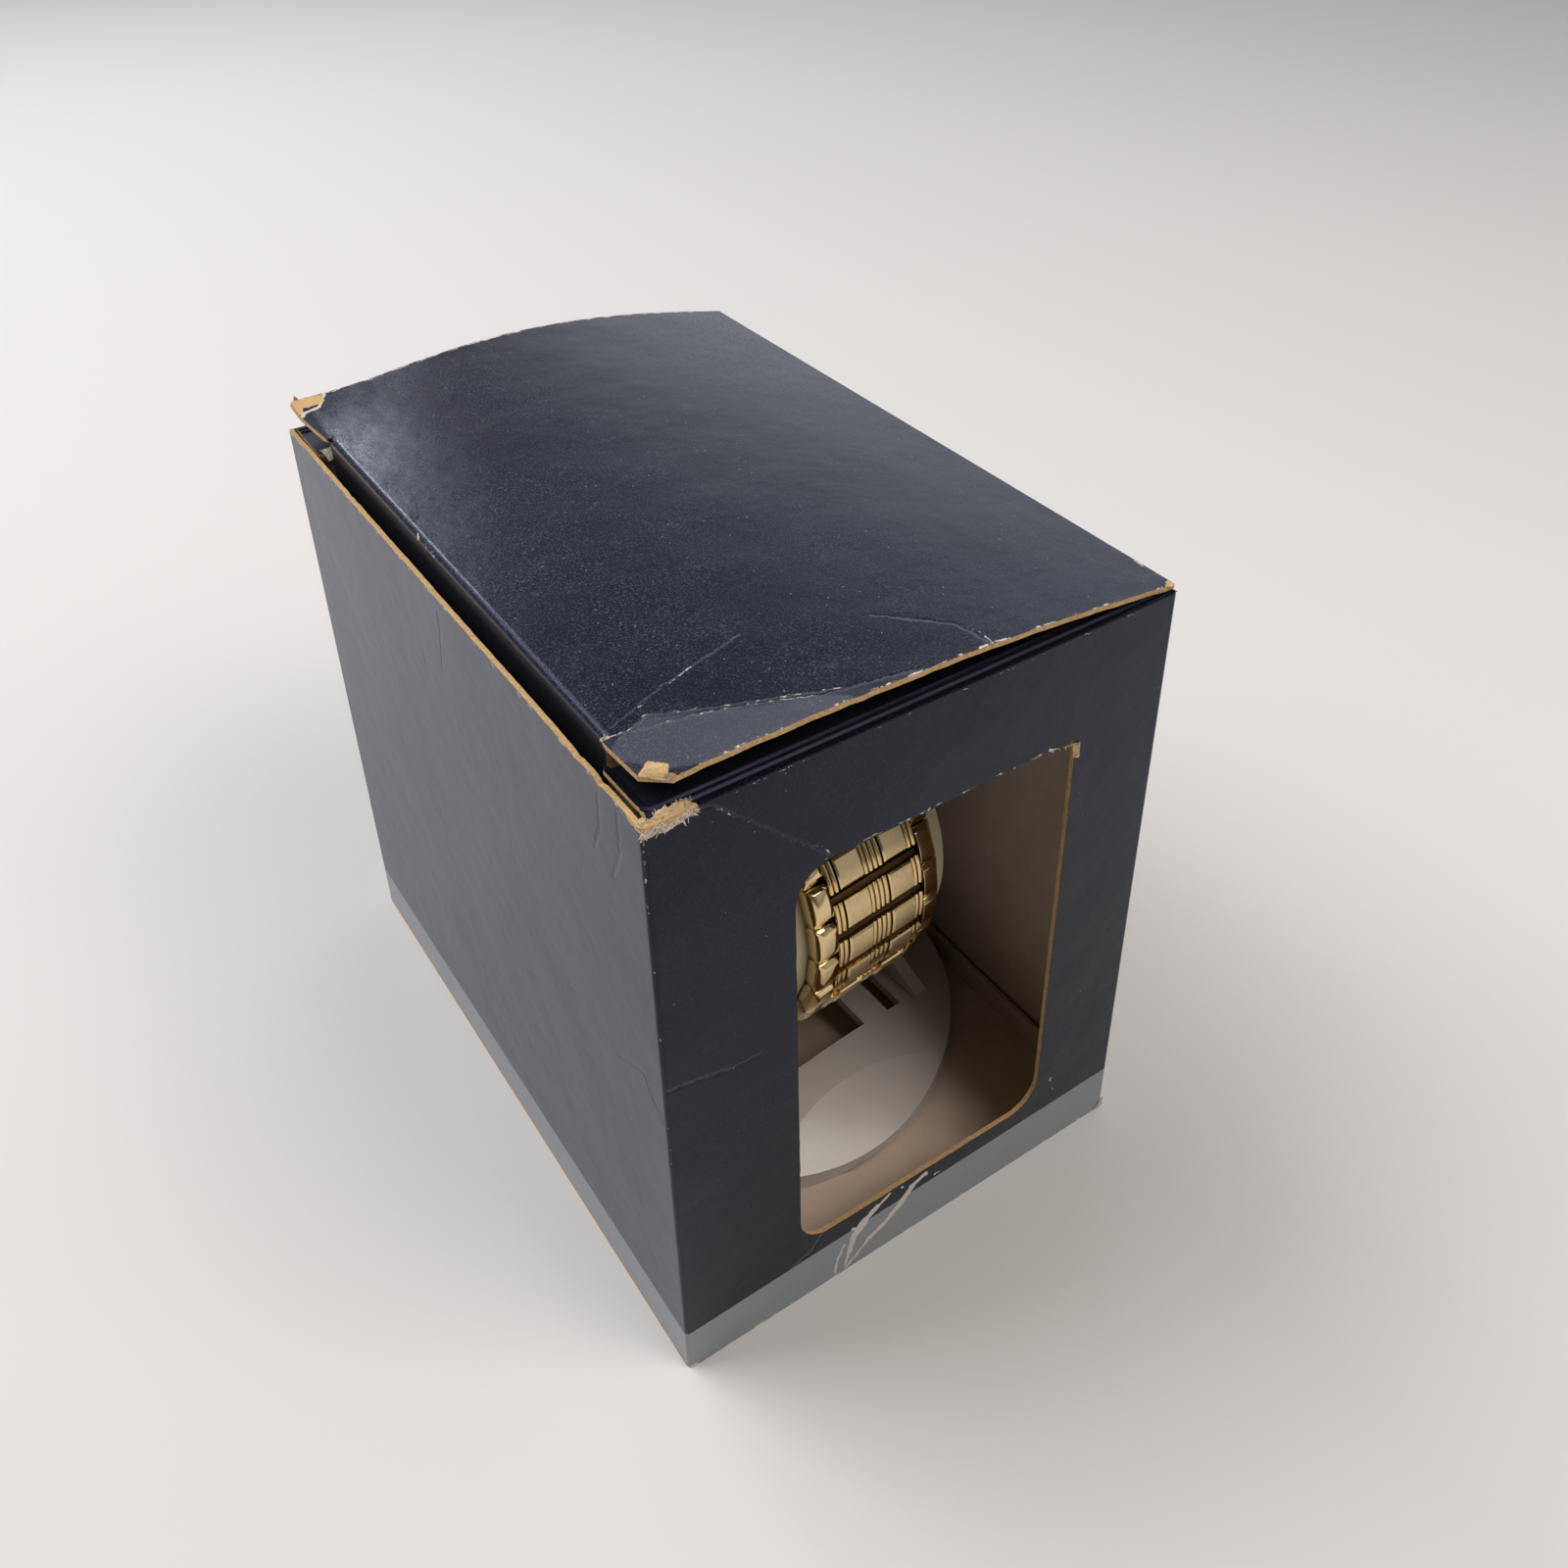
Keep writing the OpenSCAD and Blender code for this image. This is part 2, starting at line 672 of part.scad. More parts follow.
module end_links() {
    color("#d4b271") difference() {
        on_ring() for (t = [0, 1]) mirror([0, t, 0]) across(centre_w) lug_side(head_angle - 0.2);
        on_head() translate([0, 0, -2 * case_h]) cylinder(r = case_d / 2 + 0.1, h = 4 * case_h, $fn = 120);
        on_ring() for (s = [-1, 1]) spring_bar(s, run_gap);
    }
}

// Snaps in from below and closes the case
module case_back() {
    color("#c9a662") on_head() {
        cylinder(r = cavity_r - 0.8 - run_gap, h = 0.95, $fn = 120);
        cylinder(r = case_d / 2 - 1.6, h = 0.55, $fn = 120);
    }
}

module movement_holder() {
    color("#e6e6e0") on_head() difference() {
        translate([0, 0, 1.05]) cylinder(r = cavity_r - metal_gap, h = dial_z - 1.1, $fn = 120);
        cylinder(r = cavity_r - 3, h = dial_z + 1, $fn = 120);
        stem_bore();
    }
}

module movement() {
    color("#c8b48a") on_head() difference() {
        union() {
            translate([0, 0, 1.05]) cylinder(r = cavity_r - 3 - metal_gap, h = dial_z - 1.1, $fn = 120);
            cylinder_at(hour_tube_r, dial_z - 1, dial_z + dial_t + 0.7);
            cylinder_at(arbor_r, dial_z - 1, dial_z + dial_t + 1.35);
        }
        stem_bore();
    }
}

module cylinder_at(r, z0, z1) {
    translate([0, 0, z0]) cylinder(r = r, h = z1 - z0, $fn = 32);
}

module dial() {
    color("#efe6cf") on_head() difference() {
        cylinder_at(cavity_r - metal_gap, dial_z, dial_z + dial_t);
        cylinder_at(hour_tube_r + 0.3, 0, 2 * dial_z);
    }
}

module dial_ring() {
    color("#d4b271") on_head() rotate_extrude($fn = 120)
        polygon([[cavity_r - 1.5, dial_z + dial_t], [cavity_r - metal_gap, dial_z + dial_t],
            [cavity_r - metal_gap, case_h - 0.05], [cavity_r - 0.7, case_h - 0.05]]);
}

module hour_markers() {
    marker_l = 2.2;
    marker_w = 0.6;
    color("#a8853f") on_head() for (h = [0:11]) rotate([0, 0, 30 * h])
        translate([cavity_r - 2.2 - marker_l, -marker_w / 2, dial_z + dial_t])
            cube([marker_l, marker_w * (h % 3 == 0 ? 1.8 : 1), 0.25]);
}

// A hand with a round hub, pointing to an hour on the dial (12 is away from the window)
module hand(hour, l, w, hub_r, bore_r, z0) {
    on_head() rotate([0, 0, -30 * hour]) difference() {
        union() {
            cylinder_at(hub_r, z0, z0 + 0.25);
            translate([0, 0, z0]) linear_extrude(0.25) polygon([[-w / 2, -hub_r * 1.6],
                [w / 2, -hub_r * 1.6], [w / 2, l * 0.75], [0, l], [-w / 2, l * 0.75]]);
        }
        cylinder_at(bore_r, 0, 3 * dial_z);
    }
}

module hour_hand() {
    color("#8a6a2c")
        hand(10 + 9 / 60, cavity_r * 0.52, 1.1, 1.3, hour_tube_r + run_gap, dial_z + dial_t + 0.35);
}

module minute_hand() {
    color("#8a6a2c") hand(9 / 5, cavity_r * 0.76, 0.9, 1, arbor_r + run_gap, dial_z + dial_t + 0.95);
}

module bezel() {
    r = case_d / 2;
    color("#d8b87a") on_head() rotate_extrude($fn = 120)
        polygon([[cavity_r + 0.55, case_h + 0.02], [r - 0.6, case_h + 0.02], [r - 0.6, case_h + 0.35],
            [r - 1.4, case_h + bezel_h], [cavity_r + 0.15, case_h + bezel_h],
            [cavity_r + 0.15, case_h + 0.6], [cavity_r + 0.55, case_h + 0.6]]);
}

// Nylon ring between the crystal and the bezel
module crystal_gasket() {
    color("#f0f0ea") on_head() difference() {
        cylinder_at(cavity_r + 0.1, case_h + 0.02, case_h + 0.02 + crystal_t);
        cylinder_at(cavity_r - 0.3, 0, 2 * case_h);
    }
}

module crystal() {
    top = case_h + 0.02 + crystal_t + 0.2;
    r = cavity_r - 0.35;
    color([0.85, 0.9, 0.95, 0.4]) on_head() rotate_extrude($fn = 120)
        polygon([[0, case_h + 0.15], [r, case_h + 0.15], [r, top - 0.3], [r - 0.5, top], [0, top]]);
}

module winding_stem() {
    color("#b0b0b0") on_head() translate([0, 0, crown_z]) rotate([0, 90, 0])
        translate([0, 0, cavity_r - 6])
            cylinder(r = stem_d / 2, h = case_d / 2 + 0.6 - cavity_r + 6, $fn = 24);
}

module crown() {
    r = crown_d / 2;
    color("#d8b87a") on_head() translate([case_d / 2 + 0.3, 0, crown_z]) rotate([0, 90, 0])
        difference() {
            rotate_extrude($fn = 96) polygon([[0, 0], [r - 0.3, 0], [r, 0.3], [r, crown_l - 0.5],
                [r - 0.5, crown_l], [0, crown_l]]);
            cylinder_at(stem_d / 2 + run_gap, -past, 1.2);
            for (i = [0:crown_flutes - 1]) rotate([0, 0, 360 * i / crown_flutes])
                translate([r + 0.12, 0, -past]) cylinder(r = 0.24, h = crown_l + 2 * past, $fn = 16);
        }
}

front_wall();
left_wall();
back_wall();
right_wall();
glue_flap();
bottom_front_dust_flap();
bottom_back_dust_flap();
bottom_panel();
bottom_tuck_flap();
lid_panel();
tuck_flap();
front_dust_flap();
back_dust_flap();
stand_base();
cuff();
case_middle();
case_back();
bezel();
crystal();
crystal_gasket();
dial();
dial_ring();
hour_markers();
movement();
movement_holder();
hour_hand();
minute_hand();
winding_stem();
crown();
end_links();
spring_bars();
centre_links();
outer_links();
link_pins();
clasp_plate();
clasp_cover();
clasp_hinge_pin();
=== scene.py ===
"""Dresses the watch box: a windowed carton with a wristwatch on its moulded display stand."""

import logging
import math
import random
from collections.abc import Callable, Iterator
from contextlib import contextmanager
from dataclasses import dataclass, field
from enum import Enum

import bmesh
import bpy
from bpy.types import Material, Node, NodeSocket, NodeTree, Object
from mathutils import Matrix, Vector


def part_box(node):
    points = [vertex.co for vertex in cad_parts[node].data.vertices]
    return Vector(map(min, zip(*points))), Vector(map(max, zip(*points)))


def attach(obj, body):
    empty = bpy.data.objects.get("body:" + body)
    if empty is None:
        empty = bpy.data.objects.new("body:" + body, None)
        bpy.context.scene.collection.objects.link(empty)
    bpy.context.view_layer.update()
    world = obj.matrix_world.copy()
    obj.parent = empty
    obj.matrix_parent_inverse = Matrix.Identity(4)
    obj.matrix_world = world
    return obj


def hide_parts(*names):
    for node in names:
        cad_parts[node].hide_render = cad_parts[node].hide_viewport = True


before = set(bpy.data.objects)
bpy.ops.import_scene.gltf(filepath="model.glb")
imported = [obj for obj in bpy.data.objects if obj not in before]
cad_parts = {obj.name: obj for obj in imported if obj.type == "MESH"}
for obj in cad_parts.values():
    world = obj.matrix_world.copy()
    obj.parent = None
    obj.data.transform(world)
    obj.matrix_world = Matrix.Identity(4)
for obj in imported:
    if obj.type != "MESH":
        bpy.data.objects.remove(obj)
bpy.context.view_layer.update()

LOG = logging.getLogger("watch_box")
MM = 0.001
NEAR = 0.01  # how close, in millimetres, counts as on a level
Point = tuple[float, float, float]
Term = Node | NodeSocket | float | tuple | Vector


# ---------- shared tools ----------


def linear(colour: str) -> tuple[float, float, float, float]:
    """Turns an sRGB hex colour into the linear one that shaders take.

    Args:
        colour: Six hex digits after a hash.

    Returns:
        Red, green, blue and full alpha.
    """
    parts = [int(colour[i : i + 2], 16) / 255 for i in (1, 3, 5)]
    return (*[c / 12.92 if c <= 0.04045 else ((c + 0.055) / 1.055) ** 2.4 for c in parts], 1.0)


def add_node(tree: NodeTree, kind: str, links: dict | None = None, **settings: object) -> Node:
    """Adds a node with its settings and its inputs.

    Args:
        tree: The node tree that gets it.
        kind: The node's type.
        links: Input names or places, each with a value to set, a socket to link, or a node to link from.
        settings: The node's own properties.

    Returns:
        The new node.
    """
    node = tree.nodes.new(kind)
    for key, value in settings.items():
        setattr(node, key, value)
    for key, value in (links or {}).items():
        if isinstance(value, Node):
            value = value.outputs[0]
        if isinstance(value, NodeSocket):
            tree.links.new(value, node.inputs[key])
        else:
            node.inputs[key].default_value = value
    return node


def maths(tree: NodeTree, operation: str, *terms: Term, vector: bool = False) -> Node:
    """Adds a sum on numbers, or on vectors.

    Args:
        tree: The node tree that gets it.
        operation: What it does.
        terms: What it takes, in order.
        vector: Whether the terms are vectors.

    Returns:
        The node.
    """
    kind = "ShaderNodeVectorMath" if vector else "ShaderNodeMath"
    return add_node(tree, kind, dict(enumerate(terms)), operation=operation)


def noise(tree: NodeTree, place: Term, scale: float, detail: float = 2.0, **more: float) -> Node:
    """Adds a noise pattern.

    Args:
        tree: The node tree that gets it.
        place: Where it is read.
        scale: One over the size of its grains.
        detail: How many finer layers it has.
        more: Its other inputs.

    Returns:
        The node.
    """
    return add_node(tree, "ShaderNodeTexNoise", {"Vector": place, "Scale": scale, "Detail": detail, **more})


def ramp(
    tree: NodeTree,
    value: Term,
    given: tuple[float, float] = (0.0, 1.0),
    wanted: tuple[float, float] = (0.0, 1.0),
    kind: str = "LINEAR",
) -> Node:
    """Adds a map from one range of numbers to another.

    Args:
        tree: The node tree that gets it.
        value: The number.
        given: The range it comes from.
        wanted: The range it goes to.
        kind: How it runs between the ends.

    Returns:
        The node.
    """
    ends = {"From Min": given[0], "From Max": given[1], "To Min": wanted[0], "To Max": wanted[1]}
    return add_node(tree, "ShaderNodeMapRange", {"Value": value, **ends}, interpolation_type=kind)


def blend(tree: NodeTree, part: Term, first: Term, second: Term) -> NodeSocket:
    """Adds a mix of two colours.

    Args:
        tree: The node tree that gets it.
        part: How much of the second colour there is.
        first: The colour at 0.
        second: The colour at 1.

    Returns:
        The mixed colour.
    """
    return add_node(tree, "ShaderNodeMix", {0: part, 6: first, 7: second}, data_type="RGBA").outputs[2]


def only(obj: Object) -> None:
    """Makes obj the one selected and active object."""
    bpy.ops.object.select_all(action="DESELECT")
    obj.select_set(True)
    bpy.context.view_layer.objects.active = obj


@contextmanager
def editing(obj: Object, element: str = "FACE") -> Iterator[None]:
    """Opens obj in edit mode with nothing selected.

    Args:
        obj: The mesh object.
        element: VERT, EDGE or FACE.
    """
    only(obj)
    bpy.ops.object.mode_set(mode="EDIT")
    bpy.ops.mesh.reveal()
    bpy.ops.mesh.select_mode(type=element)
    bpy.ops.mesh.select_all(action="DESELECT")
    yield
    bpy.ops.object.mode_set(mode="OBJECT")


def select(obj: Object, element: str, test: Callable) -> None:
    """Selects, in edit mode, just the elements that pass a test.

    Args:
        obj: The object being edited.
        element: verts, edges or faces.
        test: Takes the element and says whether it is wanted.
    """
    mesh = bmesh.from_edit_mesh(obj.data)
    bpy.ops.mesh.select_all(action="DESELECT")
    for item in getattr(mesh, element):
        if test(item):
            item.select_set(True)
    mesh.select_flush_mode()
    bmesh.update_edit_mesh(obj.data)


def middle(item: bmesh.types.BMEdge | bmesh.types.BMFace) -> Vector:
    """The middle of an edge or face, in millimetres."""
    return sum((v.co for v in item.verts), Vector()) / len(item.verts) / MM


def bake_place(obj: Object) -> None:
    """Moves obj's place, turn and scale into its mesh."""
    only(obj)
    bpy.ops.object.transform_apply(location=True, rotation=True, scale=True)


def add_cube(name: str, size: Point, centre: Point) -> Object:
    """Adds a box primitive to be shaped.

    Args:
        name: The object's name.
        size: Its three sides, in millimetres.
        centre: Its middle, in millimetres.

    Returns:
        The object.
    """
    bpy.ops.mesh.primitive_cube_add(size=MM, location=Vector(centre) * MM)
    cube = bpy.context.object
    cube.name, cube.scale = name, size
    bake_place(cube)
    return cube


def modify(obj: Object, kind: str, **settings: object) -> None:
    """Adds a modifier with its settings and applies it."""
    only(obj)
    modifier = obj.modifiers.new(kind.title(), kind)
    for key, value in settings.items():
        setattr(modifier, key, value)
    bpy.ops.object.modifier_apply(modifier=modifier.name)


def smooth(obj: Object, degrees: float = 30.0) -> None:
    """Shades obj smooth, apart from edges sharper than an angle, and keeps its broad faces flat."""
    only(obj)
    bpy.ops.object.shade_smooth_by_angle(angle=math.radians(degrees))
    modify(obj, "WEIGHTED_NORMAL", keep_sharp=True)


def join(name: str, parts: list[Object]) -> Object:
    """Joins parts into one object.

    Args:
        name: The joined object's name.
        parts: The parts, the first of which keeps its material slots' order.

    Returns:
        The joined object.
    """
    only(parts[0])
    for part in parts[1:]:
        part.select_set(True)
    if len(parts) > 1:
        bpy.ops.object.join()
    parts[0].name = name
    return parts[0]


def deliver(obj: Object, body: str, slot: str, *nodes: str) -> None:
    """Hangs a finished piece on its body and reports it.

    Args:
        obj: The piece.
        body: The CAD body it rides on.
        slot: The material slot's name; not used.
        nodes: The CAD nodes it stands for.
    """
    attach(obj, body)
    if nodes:
        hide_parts(*nodes)
    LOG.info("%s rides on %s: %d faces", obj.name, body, len(obj.data.polygons))


# ---------- finishes ----------


class ScarKind(Enum):
    """What a line of wear shows, or where a sheen is painted."""

    CHIPPED = "white chips along a broken fold"
    CREASE = "a fold that keeps its ink"
    SCUFF = "ink torn away, with the paper showing"
    TORN = "outer layers torn away, with the brown board showing"
    # a painted sheen: a grey haze on the lid's bent front strip, standing in for the sky's reflection there
    RUBBED = "varnish rubbed to a grey haze"


@dataclass(frozen=True)
class Scar:
    """A line of wear or of painted sheen on a board, through points in millimetres, and the width it covers.
    """

    kind: ScarKind
    width: float
    points: tuple[Point, ...]


def stroke_group() -> NodeTree:
    """Makes, once, the group that measures how near a point is to a straight stroke.

    Returns:
        The node group: it gives the least of Nearest and the distance over the stroke's width.
    """
    name = "stroke distance"
    if name in bpy.data.node_groups:
        return bpy.data.node_groups[name]
    tree = bpy.data.node_groups.new(name, "ShaderNodeTree")
    for label, kind in {
        "Nearest": "Float", "Position": "Vector", "Start": "Vector", "Along": "Vector", "Width": "Float"
    }.items():
        tree.interface.new_socket(label, in_out="INPUT", socket_type=f"NodeSocket{kind}")
    tree.interface.new_socket("Nearest", in_out="OUTPUT", socket_type="NodeSocketFloat")
    given = add_node(tree, "NodeGroupInput").outputs
    # a millionth of Nearest makes a long chain be worked out stroke by stroke, which a shader has room for
    queued = maths(tree, "MULTIPLY_ADD", given["Nearest"], (1e-6,) * 3, given["Position"], vector=True)
    reach = maths(tree, "SUBTRACT", queued, given["Start"], vector=True)
    dot = maths(tree, "DOT_PRODUCT", reach, given["Along"], vector=True)
    square = maths(tree, "DOT_PRODUCT", given["Along"], given["Along"], vector=True)
    part = add_node(
        tree,
        "ShaderNodeMath",
        {0: dot.outputs["Value"], 1: square.outputs["Value"]},
        operation="DIVIDE",
        use_clamp=True,
    )
    foot = add_node(tree, "ShaderNodeVectorMath", {0: given["Along"], "Scale": part}, operation="SCALE")
    off = maths(tree, "DISTANCE", reach, foot, vector=True)
    over = maths(tree, "DIVIDE", off.outputs["Value"], given["Width"])
    least = maths(tree, "MINIMUM", given["Nearest"], over)
    add_node(tree, "NodeGroupOutput", {"Nearest": least})
    return tree


@dataclass(frozen=True)
class Finish:
    """A surface finish. Its patterns are laid out in millimetres."""

    name: str
    colour: str
    roughness: float
    ior: float = 1.5

    def make(self) -> Material:
        """Makes the Blender material."""
        material = bpy.data.materials.new(self.name)
        material.use_nodes = True
        tree = material.node_tree
        shader = tree.nodes["Principled BSDF"]
        shader.inputs["Base Color"].default_value = linear(self.colour)
        shader.inputs["Roughness"].default_value = self.roughness
        shader.inputs["IOR"].default_value = self.ior
        place = add_node(tree, "ShaderNodeTexCoord").outputs["Object"]
        metres = 1 / MM
        position = maths(tree, "MULTIPLY", place, (metres,) * 3, vector=True)
        self.dress(tree, shader, position.outputs[0])
        return material

    def dress(self, tree: NodeTree, shader: Node, position: NodeSocket) -> None:
        """Adds the finish's pattern.

        Args:
            tree: The material's nodes.
            shader: Its Principled BSDF.
            position: The place on the piece, in millimetres.
        """

    @staticmethod
    def relief(tree: NodeTree, shader: Node, height: Term, depth: float) -> None:
        """Gives the shader a bump of a depth in millimetres."""
        bump = add_node(tree, "ShaderNodeBump", {"Height": height, "Distance": depth * MM, "Strength": 1.0})
        tree.links.new(bump.outputs[0], shader.inputs["Normal"])


@dataclass(frozen=True)
class PrintedBoard(Finish):
    """Clay-coated carton board, offset printed and varnished: a satin dark ink over a faintly fibrous sheet.

    Folds chip to white paper, and handling leaves dust and fine scratches.
    """

    ink: str = "#101116"
    band: str = "#8b9092"
    band_top: float = 10.0
    band_rise: float = 0.014
    paper: str = "#d3c8bd"
    core: str = "#cda873"
    sheen: str = "#a9b4dc"
    dust: float = 0.5
    flat_z: bool = False
    scars: tuple[Scar, ...] = ()

    def nearest(self, tree: NodeTree, position: NodeSocket, kind: ScarKind) -> Term:
        """Measures the distance to the nearest scar of a kind, in widths of that scar."""
        keep = Vector((1, 1, 0 if self.flat_z else 1))
        nearest: Term = 99.0
        for scar in (s for s in self.scars if s.kind is kind):
            points = [Vector(p) * keep for p in scar.points]
            for start, end in zip(points, points[1:]):
                nearest = add_node(
                    tree,
                    "ShaderNodeGroup",
                    {
                        "Nearest": nearest, "Position": position, "Start": start, "Along": end - start,
                        "Width": scar.width,
                    },
                    node_tree=stroke_group(),
                ).outputs[0]
        return nearest

    def dress(self, tree: NodeTree, shader: Node, position: NodeSocket) -> None:
        """Adds the ink's mottle, the grey band, dust, creases, chips and torn places."""
        mottle = noise(tree, position, 1 / 22, 4.0)
        grain = noise(tree, position, 1 / 0.3, 2.0)
        colour = blend(tree, mottle, linear(self.colour), linear(self.ink))
        apart = add_node(tree, "ShaderNodeSeparateXYZ", {0: position}).outputs
        edge = maths(tree, "MULTIPLY_ADD", apart[0], self.band_rise, self.band_top)
        above = maths(tree, "LESS_THAN", apart[2], edge)
        grey = blend(tree, above, colour, linear(self.band))
        # dust: soft grains of about 0.3 mm that lie thicker in patches, and a few larger flecks
        patches = noise(tree, position, 1 / 17, 2.0)
        lay = ramp(tree, patches, (0.3, 0.75), (0.3 * self.dust, self.dust))
        powder = ramp(tree, grain, (0.52, 0.74))
        dusty = maths(tree, "MULTIPLY", lay, powder)
        cells = add_node(tree, "ShaderNodeTexVoronoi", {"Vector": position, "Scale": 1 / 1.2})
        dot = maths(tree, "LESS_THAN", cells.outputs["Distance"], 0.09)
        rare = add_node(tree, "ShaderNodeSeparateXYZ", {0: cells.outputs["Color"]})
        some = maths(tree, "LESS_THAN", rare, 0.3 * self.dust)
        fleck = maths(tree, "MULTIPLY", dot, some)
        specks = maths(tree, "MAXIMUM", dusty, fleck)
        film = maths(tree, "MULTIPLY", dusty, 0.3)
        veil = maths(tree, "MULTIPLY_ADD", fleck, 0.7, film)
        colour = blend(tree, veil, grey, linear("#9a9eb0"))
        # scars wander by a few tenths of a millimetre, as board breaks along its fibres
        wander = noise(tree, position, 1 / 1.3, 4.0)
        shift = maths(tree, "SUBTRACT", wander.outputs["Color"], (0.5,) * 3, vector=True)
        keep = (1.0, 1.0, 0.0 if self.flat_z else 1.0)
        flat = maths(tree, "MULTIPLY", position, keep, vector=True)
        astray = maths(tree, "MULTIPLY_ADD", shift, tuple(1.1 * k for k in keep), flat, vector=True)
        broken = noise(tree, position, 1 / 2.1, 7.0, Roughness=0.72)
        masks = {}
        softness = {
            ScarKind.CHIPPED: 0.5, ScarKind.CREASE: 0.0, ScarKind.SCUFF: 0.7, ScarKind.TORN: 0.85,
            ScarKind.RUBBED: 0.8,
        }
        for kind, soft in softness.items():
            near = self.nearest(tree, astray, kind)
            masks[kind] = ramp(tree, near, (1.0, soft), kind="SMOOTHSTEP")
        gaps = ramp(tree, broken, (0.52, 0.56))
        chips = maths(tree, "MULTIPLY", masks[ScarKind.CHIPPED], gaps)
        pale = maths(tree, "MAXIMUM", chips, masks[ScarKind.SCUFF])
        worn = maths(tree, "MULTIPLY", masks[ScarKind.CREASE], 0.05)
        # painted sheen: a grey haze over the lid's cracked front strip, where its tilt reflects the sky
        haze = maths(tree, "MULTIPLY", masks[ScarKind.RUBBED], 0.16)
        for mask, tone in (
            (haze, "#8f939f"), (worn, "#9a9ca4"), (pale, self.paper), (masks[ScarKind.TORN], self.core)
        ):
            colour = blend(tree, mask, colour, linear(tone))
        tree.links.new(colour, shader.inputs["Base Color"])
        shader.inputs["Specular Tint"].default_value = linear(self.sheen)
        bare = maths(tree, "MAXIMUM", pale, masks[ScarKind.TORN])
        dull = maths(tree, "MAXIMUM", bare, specks)
        gloss = ramp(tree, dull, wanted=(self.roughness, 0.85))
        tree.links.new(gloss.outputs[0], shader.inputs["Roughness"])
        # relief in millimetres: the varnish's skin, creases pressed in, and torn layers lower than the print
        skin = maths(tree, "MULTIPLY", grain, 0.012)
        wave = maths(tree, "MULTIPLY_ADD", mottle, 0.5, skin)
        pressed = maths(tree, "MULTIPLY_ADD", masks[ScarKind.CREASE], -0.12, wave)
        lost = maths(tree, "MULTIPLY_ADD", bare, -0.1, pressed)
        self.relief(tree, shader, lost, 1.0)


@dataclass(frozen=True)
class RawBoard(Finish):
    """The unprinted back of recycled board: matt, grey-tan, of short fibres flecked with darker ones."""

    fleck: str = "#8f8170"

    def dress(self, tree: NodeTree, shader: Node, position: NodeSocket) -> None:
        """Adds clouded pulp, fibres a few millimetres long and a soft tooth."""
        cloud = noise(tree, position, 1 / 6, 6.0, Roughness=0.65)
        fibre = noise(tree, position, 1 / 0.9, 3.0, Distortion=1.5)
        faint = ramp(tree, cloud, (0.3, 0.75), (0.0, 0.55))
        spots = ramp(tree, fibre, (0.62, 0.72), (0.0, 0.5))
        mix = maths(tree, "MAXIMUM", faint, spots)
        colour = blend(tree, mix, linear(self.colour), linear(self.fleck))
        tree.links.new(colour, shader.inputs["Base Color"])
        self.relief(tree, shader, fibre, 0.05)


@dataclass(frozen=True)
class CutEdge(Finish):
    """The die-cut edge of the board: rough brown kraft layers with paler outer plies."""

    fleck: str = "#9c7745"

    def dress(self, tree: NodeTree, shader: Node, position: NodeSocket) -> None:
        """Adds ragged plies and fuzz of about a third of a millimetre."""
        fuzz = noise(tree, position, 1 / 0.5, 5.0, Roughness=0.7)
        tone = ramp(tree, fuzz, (0.35, 0.7))
        colour = blend(tree, tone, linear(self.colour), linear(self.fleck))
        tree.links.new(colour, shader.inputs["Base Color"])
        self.relief(tree, shader, fuzz, 0.15)


@dataclass(frozen=True)
class MouldedPlastic(Finish):
    """Injection-moulded plastic: an even colour, a clear gloss and the faint ripple of the mould's skin."""

    shade: str = "#d2cac4"
    ripple: float = 0.01

    def dress(self, tree: NodeTree, shader: Node, position: NodeSocket) -> None:
        """Adds flow marks over centimetres and a fine skin."""
        flow = noise(tree, position, 1 / 16, 3.0)
        colour = blend(tree, flow, linear(self.colour), linear(self.shade))
        tree.links.new(colour, shader.inputs["Base Color"])
        skin = noise(tree, position, 1 / 1.6, 2.0)
        gloss = ramp(tree, flow, wanted=(self.roughness * 0.75, self.roughness * 1.3))
        tree.links.new(gloss.outputs[0], shader.inputs["Roughness"])
        self.relief(tree, shader, skin, self.ripple)


@dataclass(frozen=True)
class Metal(Finish):
    """Plated or plain metal. Brush lines follow the piece's link_mm attribute, or run along Y without one."""

    deep: str = "#a8884e"
    brush: Point = (0.0, 0.0, 0.0)
    own_grain: bool = False

    def dress(self, tree: NodeTree, shader: Node, position: NodeSocket) -> None:
        """Adds brush lines, or the hairlines and smears of a polished surface."""
        shader.inputs["Metallic"].default_value = 1.0
        if self.own_grain:
            position = add_node(tree, "ShaderNodeAttribute", attribute_name="link_mm").outputs["Vector"]
        stretch = self.brush if any(self.brush) else (0.5, 0.5, 0.5)
        along = maths(tree, "MULTIPLY", position, stretch, vector=True)
        lines = noise(tree, along, 1.0, 3.0)
        colour = blend(tree, lines, linear(self.colour), linear(self.deep))
        tree.links.new(colour, shader.inputs["Base Color"])
        gloss = ramp(tree, lines, (0.3, 0.7), (self.roughness * 0.7, self.roughness * 1.3))
        tree.links.new(gloss.outputs[0], shader.inputs["Roughness"])
        self.relief(tree, shader, lines, 0.012 if any(self.brush) else 0.004)


@dataclass(frozen=True)
class Glass(Finish):
    """Mineral glass, ground flat and polished: clear, with a faint hairline scratch here and there."""

    def dress(self, tree: NodeTree, shader: Node, position: NodeSocket) -> None:
        """Lets light through and adds hairlines."""
        shader.inputs["Transmission Weight"].default_value = 1.0
        along = maths(tree, "MULTIPLY", position, (6.0, 0.15, 1.0), vector=True)
        hair = noise(tree, along, 1.0)
        self.relief(tree, shader, hair, 0.001)


